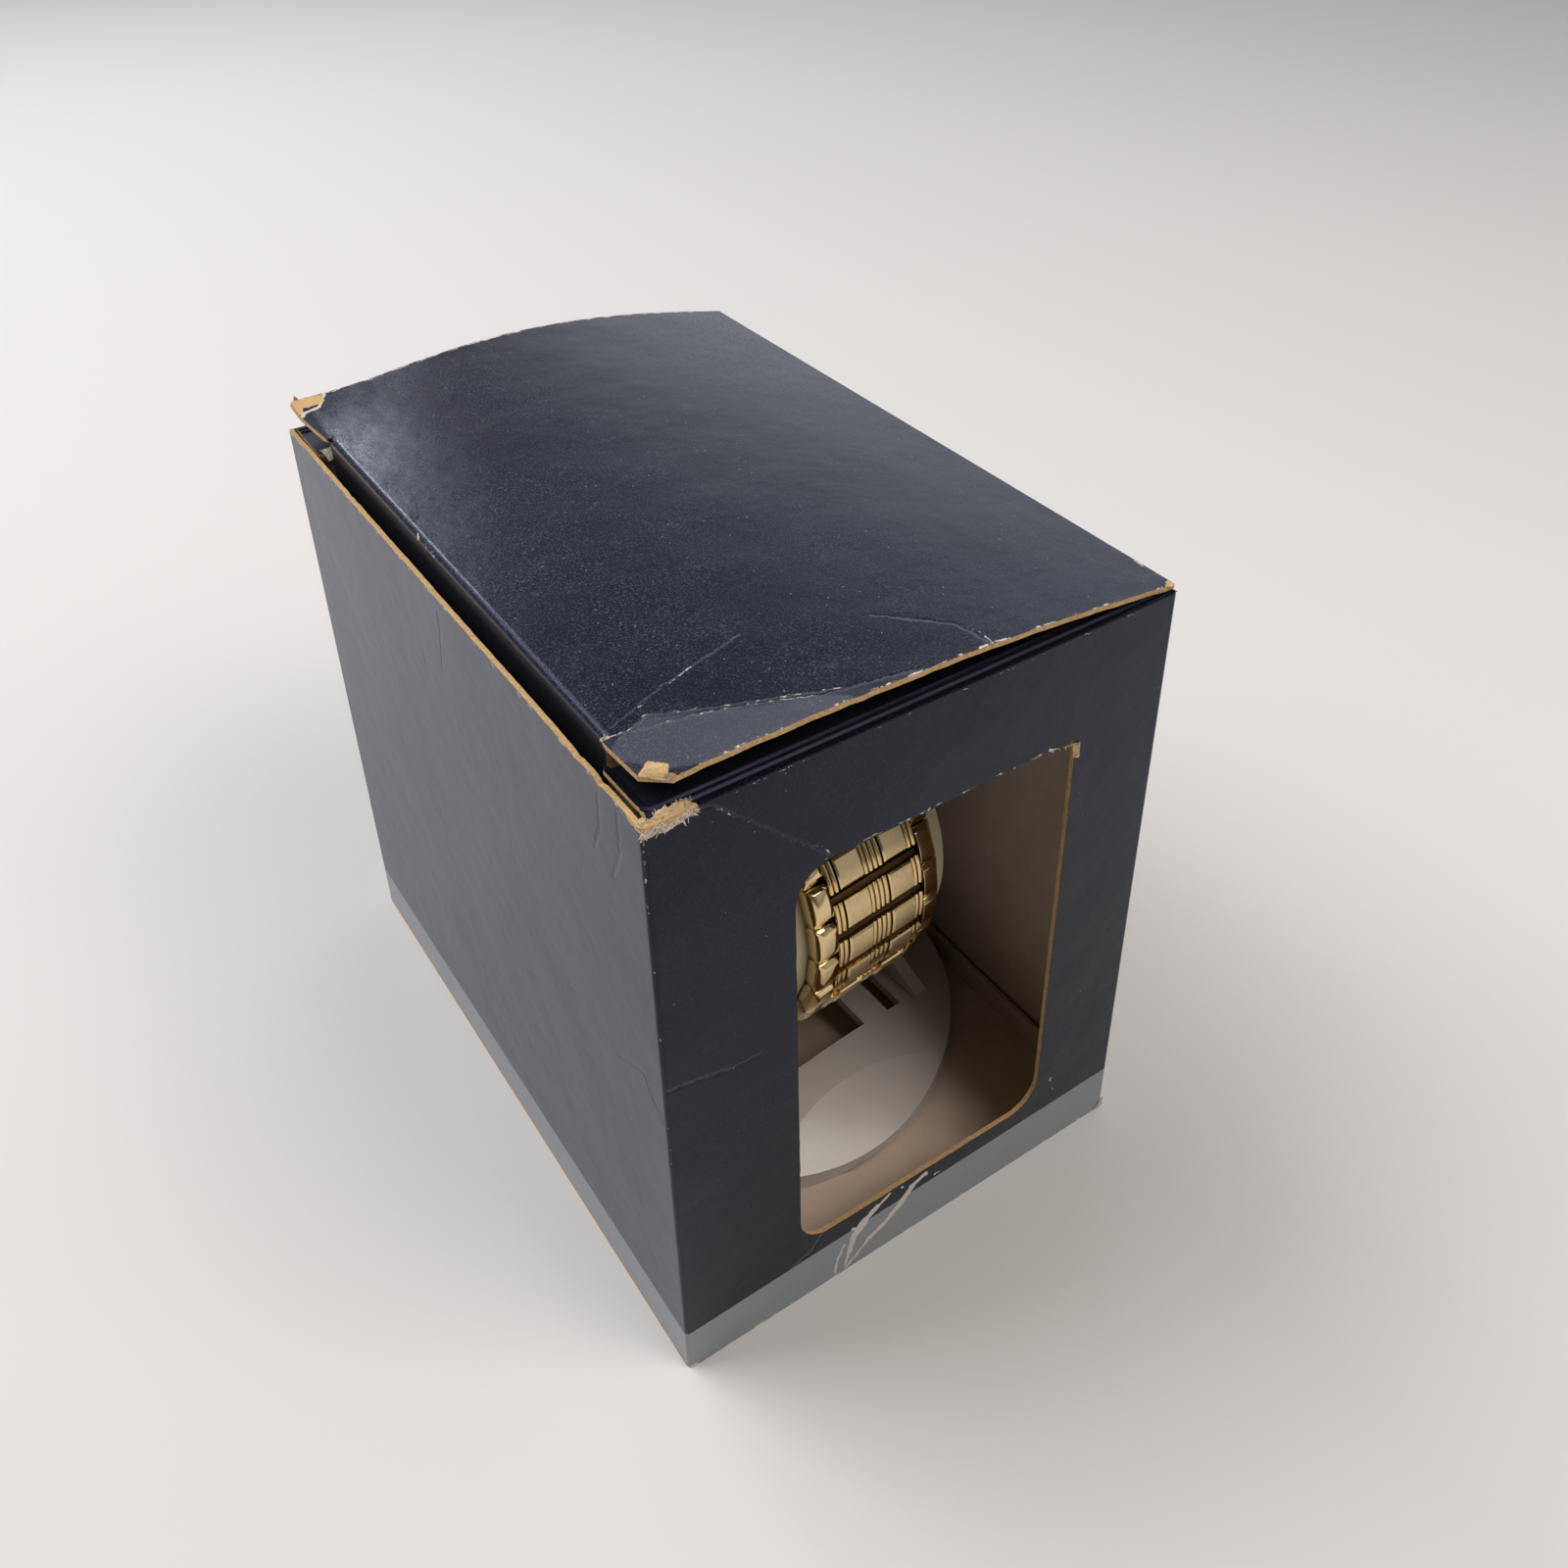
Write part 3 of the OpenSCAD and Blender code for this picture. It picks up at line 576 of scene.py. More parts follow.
@dataclass(frozen=True)
class SunrayDial(Finish):
    """Lacquer over a sun-brushed brass disc: a champagne field whose rays turn with the light."""

    ray: str = "#d9c79c"
    centre: tuple[float, float] = (1.129, -18.441)
    rays: float = 60.0

    def dress(self, tree: NodeTree, shader: Node, position: NodeSocket) -> None:
        """Adds rays round the dial's middle."""
        apart = add_node(tree, "ShaderNodeSeparateXYZ", {0: position}).outputs
        x = maths(tree, "SUBTRACT", apart[0], self.centre[0])
        y = maths(tree, "SUBTRACT", apart[1], self.centre[1])
        turn = maths(tree, "ARCTAN2", y, x)
        rays = add_node(
            tree,
            "ShaderNodeTexNoise",
            {"W": turn, "Scale": self.rays, "Detail": 2.0},
            noise_dimensions="1D",
        )
        colour = blend(tree, rays, linear(self.colour), linear(self.ray))
        tree.links.new(colour, shader.inputs["Base Color"])
        shader.inputs["Metallic"].default_value = 0.4
        shader.inputs["Coat Weight"].default_value = 0.6
        self.relief(tree, shader, rays, 0.01)


def scars(place: Callable[[float, float], Point], *rows: tuple) -> tuple[Scar, ...]:
    """Makes scars on a flat side of the carton.

    Args:
        place: Turns a pair of numbers into a point in the carton's frame, in millimetres.
        rows: For each scar its kind, the width that it covers and its pairs.

    Returns:
        The scars.
    """
    return tuple(Scar(kind, width, tuple(place(*pair) for pair in pairs)) for kind, width, pairs in rows)


def on_front(x: float, z: float) -> Point:
    """A place on the window face."""
    return (x, -63.5, z)


def on_left(y: float, z: float) -> Point:
    """A place on the left side."""
    return (-44.5, y, z)


def on_right(y: float, z: float) -> Point:
    """A place on the right side."""
    return (44.5, y, z)


def on_back(x: float, z: float) -> Point:
    """A place on the back."""
    return (x, 63.5, z)


def on_front_edge(x: float, z: float) -> Point:
    """A place on the fold at either side of the window face."""
    return (x, -63.4, z)


def on_back_edge(x: float, z: float) -> Point:
    """A place on the fold at either side of the back."""
    return (x, 63.4, z)


def on_lid(x: float, y: float) -> Point:
    """A place on the lid, whose height doesn't count."""
    return (x, y, 0.0)


CHIPPED, CREASE, SCUFF, TORN, RUBBED = ScarKind

# where the lid's front strip has cracked along from its crease
LID_CRACK = (
    (-42.2, -50.2), (-38.9, -50.7), (-35.4, -49.5), (-29.7, -52.5), (-22.6, -55.7), (-11.2, -60.3),
    (-2.0, -62.0),
)

LID_SCARS = scars(
    on_lid,
    (CHIPPED, 0.2, LID_CRACK[:6]),
    (CHIPPED, 0.15, [(-38.2, -51.5), (-31.1, -53.1), (-22.9, -56.1), (-16.1, -59.4)]),
    (CHIPPED, 0.12, [(-35.6, -47.6), (-30.5, -45.9), (-25.9, -44.3)]),
    (CHIPPED, 0.14, [(8.7, -56.2), (10.2, -59.6), (10, -62.9)]),
    (CREASE, 0.5, LID_CRACK),
    (CREASE, 0.45, [(-38.2, -51.5), (-31.1, -53.1), (-22.9, -56.1), (-16.1, -59.4), (-9, -60.6)]),
    (CREASE, 0.4, [(-39.9, -48.7), (-34.4, -46.6), (-31, -45.5), (-17, -42.1)]),
    (CREASE, 0.5, [(0.4, -48.5), (4.3, -52.2), (8.7, -56.2), (10, -62.9)]),
    (CREASE, 0.22, [(-38.4, 19.6), (-38.5, 17.8), (-39.3, 14.9), (-40.5, 13.4)]),
    (CHIPPED, 0.3, [(-38, -62.6), (44, -62.6)]),
    (CHIPPED, 0.22, [(44.2, -62.7), (44.2, -48)]),
    (CHIPPED, 0.25, [(-38, 62.5), (44, 62.5)]),
    (CHIPPED, 0.2, [(-41.7, 3), (-41.7, 10)]),
    # painted sheen over the front strip beyond the crack, where its tilt catches the sky
    (RUBBED, 3.6, [(-39.4, -54.6), (-36.6, -53.2), (-31.5, -56.2), (-25, -59.4), (-16, -63.2)]),
    (RUBBED, 3.0, [(-38.4, -58.5), (-33, -60.5), (-26, -62.8)]),
    (SCUFF, 0.45, [(-42.3, -50.2), (-41.3, -50.3)]),
    (SCUFF, 0.4, [(-37.2, 62.6), (-39.5, 58.7), (-42.2, 58.0), (-43.4, 56.6)]),
    (TORN, 0.9, [(-43.4, 58.2), (-42.6, 61.6)]),
    (TORN, 1.7, [(-42.4, 61.0), (-39.4, 61.2)]),
    (TORN, 0.5, [(43.2, -62.6), (44.4, -62.4)]),
)

FRONT_SCARS = (
    scars(
        on_front,
        (CHIPPED, 0.17, [(-36.9, 113.6), (-34.2, 112.6), (-31.5, 109.3), (-29.5, 107.5)]),
        (CHIPPED, 0.15, [(-20.6, 99.1), (-18.2, 97.5), (-16.7, 94.9)]),
        (CREASE, 0.45, [(-36.9, 113.6), (-34.2, 112.6), (-26.2, 104.5), (-20.6, 99.1), (-16.7, 94.9)]),
        (CREASE, 0.6, [(-43.8, 66.7), (-39.3, 66), (-34.1, 64.5), (-29, 64.4)]),
        (CREASE, 0.6, [(-18.5, 13.8), (-20.9, 10.9), (-25.8, 9.2), (-29.1, 7.5)]),
        (SCUFF, 0.35, [(-5.1, 13.2), (-7.6, 11.9)]),
        (SCUFF, 0.8, [(-7.6, 11.9), (-10.0, 10.3)]),
        (SCUFF, 1.15, [(-10.0, 10.3), (-12.1, 8.0)]),
        (SCUFF, 0.75, [(-12.1, 8.0), (-13.3, 4.3)]),
        (SCUFF, 0.35, [(-13.3, 4.3), (-14.0, 1.5)]),
        (SCUFF, 0.55, [(2.7, 12.7), (-0.4, 11.7)]),
        (SCUFF, 0.85, [(-0.4, 11.2), (-3.4, 8.2)]),
        (SCUFF, 0.65, [(-3.4, 8.2), (-5.9, 6.2), (-9.0, 4.7)]),
        (SCUFF, 0.4, [(-9.0, 4.7), (-11.3, 2.5), (-14.0, 0.5)]),
        (SCUFF, 0.32, [(-14.3, 6.9), (-15.6, 4.2), (-16.0, 1.2)]),
        (SCUFF, 0.35, [(-12.6, 9.9), (-12.0, 9.3)]),
        (SCUFF, 0.22, [(-2.6, 13.2), (-2.2, 12.9)]),
        (SCUFF, 0.2, [(4.6, 10.8), (5.4, 10.9)]),
        (CHIPPED, 0.35, [(30, 17.8), (31, 13.8)]),
    )
    + scars(
        on_front_edge,
        (CHIPPED, 0.2, [(-44.3, 113.2), (-44.4, 97)]),
        (CHIPPED, 0.08, [(-44.3, 97), (-44.3, 72)]),
        (CHIPPED, 0.07, [(-44.3, 60), (-44.3, 2)]),
        (CHIPPED, 0.08, [(44.3, 112), (44.3, 2)]),
        (SCUFF, 0.6, [(-44.4, 0.2), (-43.2, 0.2)]),
    )
    + scars(
        on_front,
        (SCUFF, 0.4, [(-44.4, 112.5), (-43.2, 112.9), (-41.0, 112.3), (-39.0, 112.7), (-36.8, 113.4)]),
        (TORN, 0.9, [(-44.3, 113.7), (-41, 113.4), (-37.4, 113.8)]),
        (CHIPPED, 0.25, [(-43.5, 0.3), (43.5, 0.3)]),
        (CHIPPED, 0.08, [(-36, 113.5), (43.5, 113.5)]),
        (CHIPPED, 0.18, [(-18, 95.2), (21, 95.1)]),
        (SCUFF, 0.3, [(21.5, 95.2), (24.6, 93.9), (27.0, 94.0), (27.6, 91.2)]),
    )
)

LEFT_SCARS = (
    scars(
        on_left,
        (CHIPPED, 0.3, [(-62, 113.6), (62, 113.6)]),
        (CREASE, 0.4, [(-2.3, 111.5), (-1.9, 107.3), (-0.1, 100.1)]),
        (CREASE, 0.6, [(-50, 61.2), (-57.7, 65.5), (-59.1, 62.9), (-62.6, 59.8)]),
        (CREASE, 0.4, [(-16.8, 50.6), (-18.7, 48.5)]),
        (CREASE, 0.4, [(-34.4, 62.6), (-36.9, 61.7)]),
        (CREASE, 0.4, [(8, 97.9), (7.3, 95.7)]),
        (CREASE, 0.7, [(-52.4, 111.6), (-52, 105.8), (-49.8, 101.2)]),
        (CREASE, 0.8, [(-57.6, 112.2), (-57.2, 105.4), (-54.6, 99.7)]),
        (CHIPPED, 0.25, [(-62, 0.8), (62, 0.8)]),
    )
    + scars(lambda x, y: (x, y, 113.9), (TORN, 0.7, [(-44.4, -63), (-44.4, -60.5)]))
)

FAR_SCARS = (
    scars(
        on_back_edge,
        (CHIPPED, 0.16, [(-44.3, 112), (-44.3, 2)]),
        (CHIPPED, 0.16, [(44.3, 112), (44.3, 2)]),
    )
    + scars(on_back, (CHIPPED, 0.25, [(-40, 113.7), (43.5, 113.7)]))
    + scars(
        on_right,
        (CHIPPED, 0.25, [(-62, 0.9), (62, 0.9)]),
        (CREASE, 0.6, [(30, 40), (36, 37.5), (44, 38)]),
    )
    + scars(on_back, (CREASE, 0.6, [(-20, 80), (-12, 77), (-7, 78)]))
)


@dataclass(frozen=True)
class Finishes:
    """Every finish of the watch box, made once."""

    front: Material
    left: Material
    far: Material
    lid: Material
    flap: Material
    band: Material
    raw: Material
    edge: Material
    torn: Material
    paper: Material
    white: Material
    cream: Material
    brushed: Material
    polished: Material
    cleft: Material
    case_gold: Material
    hand_gold: Material
    glass: Material
    nylon: Material
    dial: Material
    brass: Material
    steel: Material

    @classmethod
    def make(cls) -> "Finishes":
        """Makes the materials."""
        finishes = {
            # dark satin print; the walls read charcoal, and the lid bluer where the sky lights it. The window
            # face and the left side are one board, but the window face's copy is painted darker, as painted
            # shade, and the left side's copy lighter, as a painted sheen of the bright floor beside it
            "front": PrintedBoard(
                "printed front board", "#090a15", 0.2, 1.45, ink="#06070f", scars=FRONT_SCARS, dust=0.2
            ),
            "left": PrintedBoard(
                "printed side board", "#272a37", 0.3, 1.75, ink="#222531", scars=LEFT_SCARS, dust=0.2
            ),
            "far": PrintedBoard("printed carton board", "#1a1c27", 0.3, 1.5, scars=FAR_SCARS, dust=0.2),
            "lid": PrintedBoard(
                "printed lid board", "#0d0f1f", 0.27, 1.5, ink="#0c0e1f", scars=LID_SCARS,
                dust=0.75, flat_z=True, band_top=-99,
            ),
            "flap": PrintedBoard("printed flap board", "#131420", 0.4, 1.45, dust=0.2, band_top=-99),
            # a paler grey print under the box
            "band": PrintedBoard(
                "grey printed board", "#8b9092", 0.42, ink="#82878a", dust=0.2, band_top=-99
            ),
            # matt grey-tan pulp inside the carton
            "raw": RawBoard("uncoated board back", "#d2beae", 0.85, fleck="#b9a592"),
            # brown fuzzy lines wherever the board was cut
            "edge": CutEdge("die-cut board edge", "#d8b583", 0.9, fleck="#ab8350"),
            # torn plies: paler than a clean cut, and fuzzy
            "torn": CutEdge("torn board ply", "#e2c797", 0.95, fleck="#bd945c"),
            # the white paper face that lifts with the print where a corner tears
            "paper": CutEdge("torn paper face", "#e6ded4", 0.9, fleck="#c9b9a6"),
            # a glossy white that picks up soft highlights
            "white": MouldedPlastic("moulded polystyrene", "#bdb6b3", 0.2, 1.59),
            # waxy cream with a soft sheen
            "cream": MouldedPlastic(
                "moulded polypropylene", "#d3c8a8", 0.38, 1.49, shade="#cabf9c", ripple=0.02
            ),
            # gold-plated steel, brushed along the bracelet: a soft streaky glow
            "brushed": Metal(
                "brushed gold plate",
                "#ecd6a8",
                0.36,
                deep="#cfb484",
                brush=(9.0, 0.35, 9.0),
                own_grain=True,
            ),
            # the same plate polished: crisp dark and bright reflections
            "polished": Metal("polished gold plate", "#e6cf9f", 0.12, deep="#d6bb88"),
            # plating in the clefts between links, painted dark brown as painted shade and painted dark
            # reflections there
            "cleft": Metal("gold plate painted dark as shade", "#5d4429", 0.25, deep="#3e2c1b"),
            # the case's plate: broader, softer reflections than the polished links have
            "case_gold": Metal("satin gold plate", "#e3cd9d", 0.22, deep="#d2b985"),
            # a deeper gilt that flashes from the hands' and markers' cut faces
            "hand_gold": Metal("diamond-cut gilt brass", "#b58e46", 0.15, deep="#9c7838"),
            # clear, with a sharp reflection of the window light
            "glass": Glass("mineral glass", "#ffffff", 0.01, 1.52),
            # off-white and nearly matt
            "nylon": MouldedPlastic("moulded nylon", "#e4e2d8", 0.45, 1.53, shade="#dcdacf"),
            # champagne, with rays that turn with the light
            "dial": SunrayDial("sunray dial lacquer", "#e9dcb8", 0.35),
            # warm lined metal, deep in the case
            "brass": Metal("machined brass", "#c9ae72", 0.3, deep="#b0945a", brush=(8.0, 0.5, 8.0)),
            # cool grey, at the pins' ends
            "steel": Metal("drawn steel", "#b9b9b6", 0.28, deep="#9a9a98"),
        }
        return cls(**{key: finish.make() for key, finish in finishes.items()})


# ---------- carton ----------


def slots(obj: Object, *materials: Material) -> None:
    """Gives obj its material slots in order."""
    obj.data.materials.clear()
    for material in materials:
        obj.data.materials.append(material)


@dataclass
class Sleeve:
    """The carton's four walls, one board folded round, with its window. Sizes in millimetres."""

    width: float = 89.0
    depth: float = 127.0
    height: float = 114.0
    board: float = 0.8
    fold: float = 0.8
    window: tuple[float, float, float, float] = (-22.8, 26.8, 14.0, 94.9)
    window_round: float = 6.0
    top_fold: float = 0.35
    knife_reach: float = 3.0
    torn_round: float = 1.2
    torn_reach: float = 5.5
    left_foot: float = 0.8
    drift_kept: float = 0.7
    drift_step: tuple[float, float] = (-0.09, 0.07)
    nick_chance: float = 0.05
    nick_depth: tuple[float, float] = (0.2, 0.5)
    cut_wander: float = 0.09
    tear_wander: float = 0.42

    def build(self, finishes: Finishes) -> None:
        """Folds the walls, cuts the window and frays the edges."""
        walls = add_cube("carton_walls", (self.width, self.depth, self.height), (0, 0, self.height / 2))
        slots(walls, finishes.front, finishes.raw, finishes.edge, finishes.left, finishes.far)
        half_x, half_y = self.width / 2, self.depth / 2
        with editing(walls):
            select(walls, "faces", lambda f: abs(f.normal.z) > 0.9)
            bpy.ops.mesh.delete(type="ONLY_FACE")
            bpy.ops.mesh.select_mode(type="EDGE")
            select(walls, "edges", lambda e: abs(e.verts[0].co.z - e.verts[1].co.z) > MM)
            bpy.ops.mesh.bevel(offset=self.fold * MM, segments=4, affect="EDGES")
            bpy.ops.mesh.select_mode(type="VERT")
            # the left wall stands on the bottom panel's crease
            select(walls, "verts", lambda v: v.co.z < 0.1 * MM and abs(v.co.x / MM + half_x) < NEAR)
            bpy.ops.transform.translate(value=(0, 0, self.left_foot * MM))
            # the left wall's top was cut by a worn blade
            bpy.ops.mesh.select_mode(type="EDGE")
            select(
                walls, "edges",
                lambda e: middle(e).z > self.height - NEAR and abs(middle(e).x + half_x) < NEAR,
            )
            bpy.ops.mesh.subdivide(number_cuts=110)
        draw = random.Random(11)
        top = sorted(
            (
                v for v in walls.data.vertices if v.co.z > (self.height - NEAR) * MM
                and abs(v.co.x / MM + half_x) < NEAR
            ),
            key=lambda v: v.co.y,
        )
        drift = 0.0
        for vertex in top[1:-1]:
            drift = self.drift_kept * drift + draw.uniform(*self.drift_step)
            nick = draw.uniform(*self.nick_depth) if draw.random() < self.nick_chance else 0.0
            vertex.co.z += (min(drift, 0.05) - nick) * MM
        modify(
            walls,
            "SOLIDIFY",
            thickness=self.board * MM,
            offset=-1.0,
            material_offset=1,
            material_offset_rim=2,
            use_even_offset=True,
        )
        cutter = self.window_cutter(finishes)
        modify(
            walls,
            "BOOLEAN",
            operation="DIFFERENCE",
            object=cutter,
            solver="EXACT",
            material_mode="TRANSFER",
        )
        bpy.data.objects.remove(cutter, do_unlink=True)
        for face in walls.data.polygons:
            x, y, z = (c / MM for c in face.center)
            folded = z > self.height - 0.6 and x > -half_x + 0.9 or z < 1.0 and x < half_x - 0.9
            if face.material_index == 2 and abs(face.normal.z) > 0.5 and folded:
                face.material_index = 0
            # the left side takes the copy painted lighter, as painted sheen, and the window face keeps the
            # copy painted darker, as painted shade
            if face.material_index == 0 and (y > 0.5 - half_y or abs(face.normal.x) > 0.9):
                face.material_index = 3 if x < 0.5 - half_x and y < half_y - 0.9 else 4
        with editing(walls, "EDGE"):
            select(walls, "edges", self.is_top_fold)
            bpy.ops.mesh.bevel(offset=self.top_fold * MM, segments=2, affect="EDGES")
        # where the two softened folds meet, their corner stays within the walls
        for vertex in walls.data.vertices:
            vertex.co.x = min(vertex.co.x, half_x * MM)
            vertex.co.y = max(-half_y * MM, min(vertex.co.y, half_y * MM))
        smooth(walls, 35)
        deliver(walls, "carton", "printed_board", "front_wall", "left_wall", "back_wall", "right_wall")

    def is_top_fold(self, edge: bmesh.types.BMEdge) -> bool:
        """Whether an edge is the outer edge of the front's, back's or right side's top fold."""
        spot = middle(edge)
        flat = all(abs(v.co.z / MM - self.height) < NEAR for v in edge.verts)
        outer = abs(spot.y) > self.depth / 2 - 0.6 or spot.x > self.width / 2 - 0.1
        return flat and outer and spot.x > -self.width / 2 + 1.0

    def window_cutter(self, finishes: Finishes) -> Object:
        """Makes the window's knife: a rounded outline with a slightly wandering cut, through the front.

        Returns:
            The cutter, whose only material is the cut edge.
        """
        x0, x1, z0, z1 = self.window
        bpy.ops.mesh.primitive_plane_add(
            size=MM,
            location=((x0 + x1) / 2 * MM, (-self.depth / 2 - self.knife_reach) * MM, (z0 + z1) / 2 * MM),
            rotation=(math.pi / 2, 0, 0),
        )
        cutter = bpy.context.object
        cutter.scale = (x1 - x0, z1 - z0, 1)
        bake_place(cutter)
        slots(cutter, finishes.edge)
        with editing(cutter, "VERT"):
            select(cutter, "verts", lambda v: v.co.x > 0 and v.co.z > 0.05)
            bpy.ops.mesh.bevel(offset=self.torn_round * MM, segments=4, affect="VERTICES")
            select(cutter, "verts", lambda v: v.co.x < 0 or v.co.z < 0.05)
            bpy.ops.mesh.bevel(offset=self.window_round * MM, segments=8, affect="VERTICES")
            bpy.ops.mesh.select_all(action="SELECT")
            bpy.ops.mesh.delete(type="ONLY_FACE")
            bpy.ops.mesh.select_mode(type="EDGE")
            select(cutter, "edges", lambda e: e.calc_length() > 8 * MM)
            bpy.ops.mesh.subdivide(number_cuts=44)
            bpy.ops.mesh.select_all(action="SELECT")
            bpy.ops.transform.vertex_random(offset=self.cut_wander * MM, seed=5)
            # the cut is torn in the top right corner
            bpy.ops.mesh.select_mode(type="VERT")
            select(
                cutter, "verts", lambda v: v.co.x > (x1 - self.torn_reach) * MM and v.co.z > (z1 - 4) * MM
            )
            bpy.ops.transform.vertex_random(offset=self.tear_wander * MM, seed=9)
            bpy.ops.mesh.select_all(action="SELECT")
            bpy.ops.transform.resize(
                value=(1, 0, 1), center_override=(0, (-self.depth / 2 - self.knife_reach) * MM, 0)
            )
            bpy.ops.mesh.edge_face_add()
            bpy.ops.mesh.extrude_region_move(
                TRANSFORM_OT_translate={"value": (0, 2 * self.knife_reach * MM, 0)}
            )
            bpy.ops.mesh.select_all(action="SELECT")
            bpy.ops.mesh.normals_make_consistent(inside=False)
        return cutter


@dataclass
class Lid:
    """The bowed lid with its rolled crease and two ears, hinged on the right wall. Sizes in millimetres."""

    width: float = 89.0
    height: float = 114.0
    inset: float = 2.6
    rise: float = 3.0
    half_depth: float = 62.7
    back_bow: float = 5.2
    front_bow: float = 2.4
    front_ear: float = 12.3
    back_ear: float = 15.2
    ear_reach: float = 0.5
    back_flare: float = 1.2
    ear_curl: float = 1.6
    front_corner: float = 3.0
    back_corner: float = 1.0
    board: float = 0.8
    roll: float = 1.1
    bent_strip: float = 0.09
    crack: tuple[tuple[float, float], ...] = LID_CRACK
    columns: int = 44
    roll_steps: int = 6

    def rows(self) -> list[float]:
        """The rows from front to back, closer at the corners and at the slits beside the ears."""
        sides = []
        for side, ear, corner in (
            (-1, self.front_ear, self.front_corner), (1, self.back_ear, self.back_corner)
        ):
            insets = [corner * i / 6 for i in range(7)] + [
                corner + (ear - corner) * i / 9 for i in range(1, 9)
            ]
            insets += [ear - 0.02, ear + 0.02]
            sides.append([side * (self.half_depth - inset) for inset in insets])
        front, back = sides
        between = [front[-1] + (back[-1] - front[-1]) * i / 56 for i in range(1, 56)]
        return front + between + back[::-1]

    def surface(self, u: float, v: float) -> float:
        """Height of the lid's underside over its plane, at a part of its width and of its depth."""
        bow = (self.front_bow + (self.back_bow - self.front_bow) * v**1.5) * math.sin(math.pi * min(1.0, u))
        return bow + self.ear_curl * max(0.0, (u - 0.8) / 0.2) ** 2 * max(0.0, (v - 0.8) / 0.2) ** 2

    def strip_lift(self, x: float, y: float) -> float:
        """How far the cracked front strip is bent up, at a place on the lid."""
        for (x0, y0), (x1, y1) in zip(self.crack, self.crack[1:]):
            if x <= x1:
                part = max(0.0, (x - x0) / (x1 - x0))
                return self.bent_strip * max(0.0, y0 + (y1 - y0) * part - y)
        return 0.0

    def build(self, finishes: Finishes) -> None:
        """Shapes the sheet row by row, gives it its thickness and shades it smooth."""
        rows = self.rows()
        across, deep = self.columns + self.roll_steps, len(rows) - 1
        bpy.ops.mesh.primitive_grid_add(x_subdivisions=across, y_subdivisions=deep, size=1)
        lid = bpy.context.object
        lid.name = "lid_board"
        slots(lid, finishes.lid, finishes.raw, finishes.edge)
        length = math.hypot(self.width - self.inset, self.rise)
        tilt = Matrix.Translation((self.width / 2, 0, self.height)) @ Matrix.Rotation(
            math.asin(self.rise / length), 4, "Y"
        )
        draw = random.Random(7)
        fray = {
            0: [draw.uniform(-0.1, 0.12) for _ in range(across + 1)],
            deep: [draw.uniform(-0.1, 0.1) for _ in range(across + 1)],
        }
        straight = [0.0] * (across + 1)
        for vertex in lid.data.vertices:
            i, j = round((vertex.co.x + 0.5) * across), round((vertex.co.y + 0.5) * deep)
            spot = Vector(self.spot(across - i, rows[j], length, fray.get(j, straight)[i]))
            place = tilt @ spot
            place.z += self.strip_lift(place.x, place.y)
            vertex.co = place * MM
        modify(
            lid,
            "SOLIDIFY",
            thickness=self.board * MM,
            offset=-1.0,
            material_offset=1,
            material_offset_rim=2,
        )
        for face in lid.data.polygons:
            if face.material_index == 2 and face.center.x > (self.width / 2 - 0.3) * MM:
                face.material_index = 0
        smooth(lid, 35)
        deliver(lid, "lid", "lid_board", "lid_panel")

    def spot(self, step: int, y: float, length: float, fray: float) -> Point:
        """Places one point of the lid's top face.

        Args:
            step: The column, counted from the hinge: the flat ones, then those round the crease.
            y: The row.
            length: From the hinge to the crease, in the lid's own plane.
            fray: How far the cut edge wanders here.

        Returns:
            The point in the lid's tilted plane.
        """
        v = (y + self.half_depth) / (2 * self.half_depth)
        from_edge = self.half_depth - abs(y)
        front = y < 0
        ear = self.front_ear if front else self.back_ear
        flat = length - self.roll
        out = max(0, step - self.columns) / self.roll_steps
        along = flat * min(step, self.columns) / self.columns
        if from_edge < ear:
            corner = self.front_corner if front else self.back_corner
            reach = self.ear_reach + (0.0 if front else self.back_flare * min(1.0, (ear - from_edge) / 9))
            end = length + reach - max(0.0, corner - from_edge)
            x = -min(along + (self.roll + reach) * out, end)
            return (x, y + (fray if from_edge < NEAR else 0.0), self.surface(-x / length, v) + self.board)
        turn = math.radians(84) * out
        drop = self.roll * (1 - math.cos(turn))
        x = -(along + self.roll * math.sin(turn))
        return (x, y, self.surface(along / length, v) + self.board - drop)


@dataclass(frozen=True)
class Flap:
    """A flat board: its CAD node and body, the side that faces out, its outer finish and its slot."""

    node: str
    body: str
    outward: Point
    outer: str
    slot: str


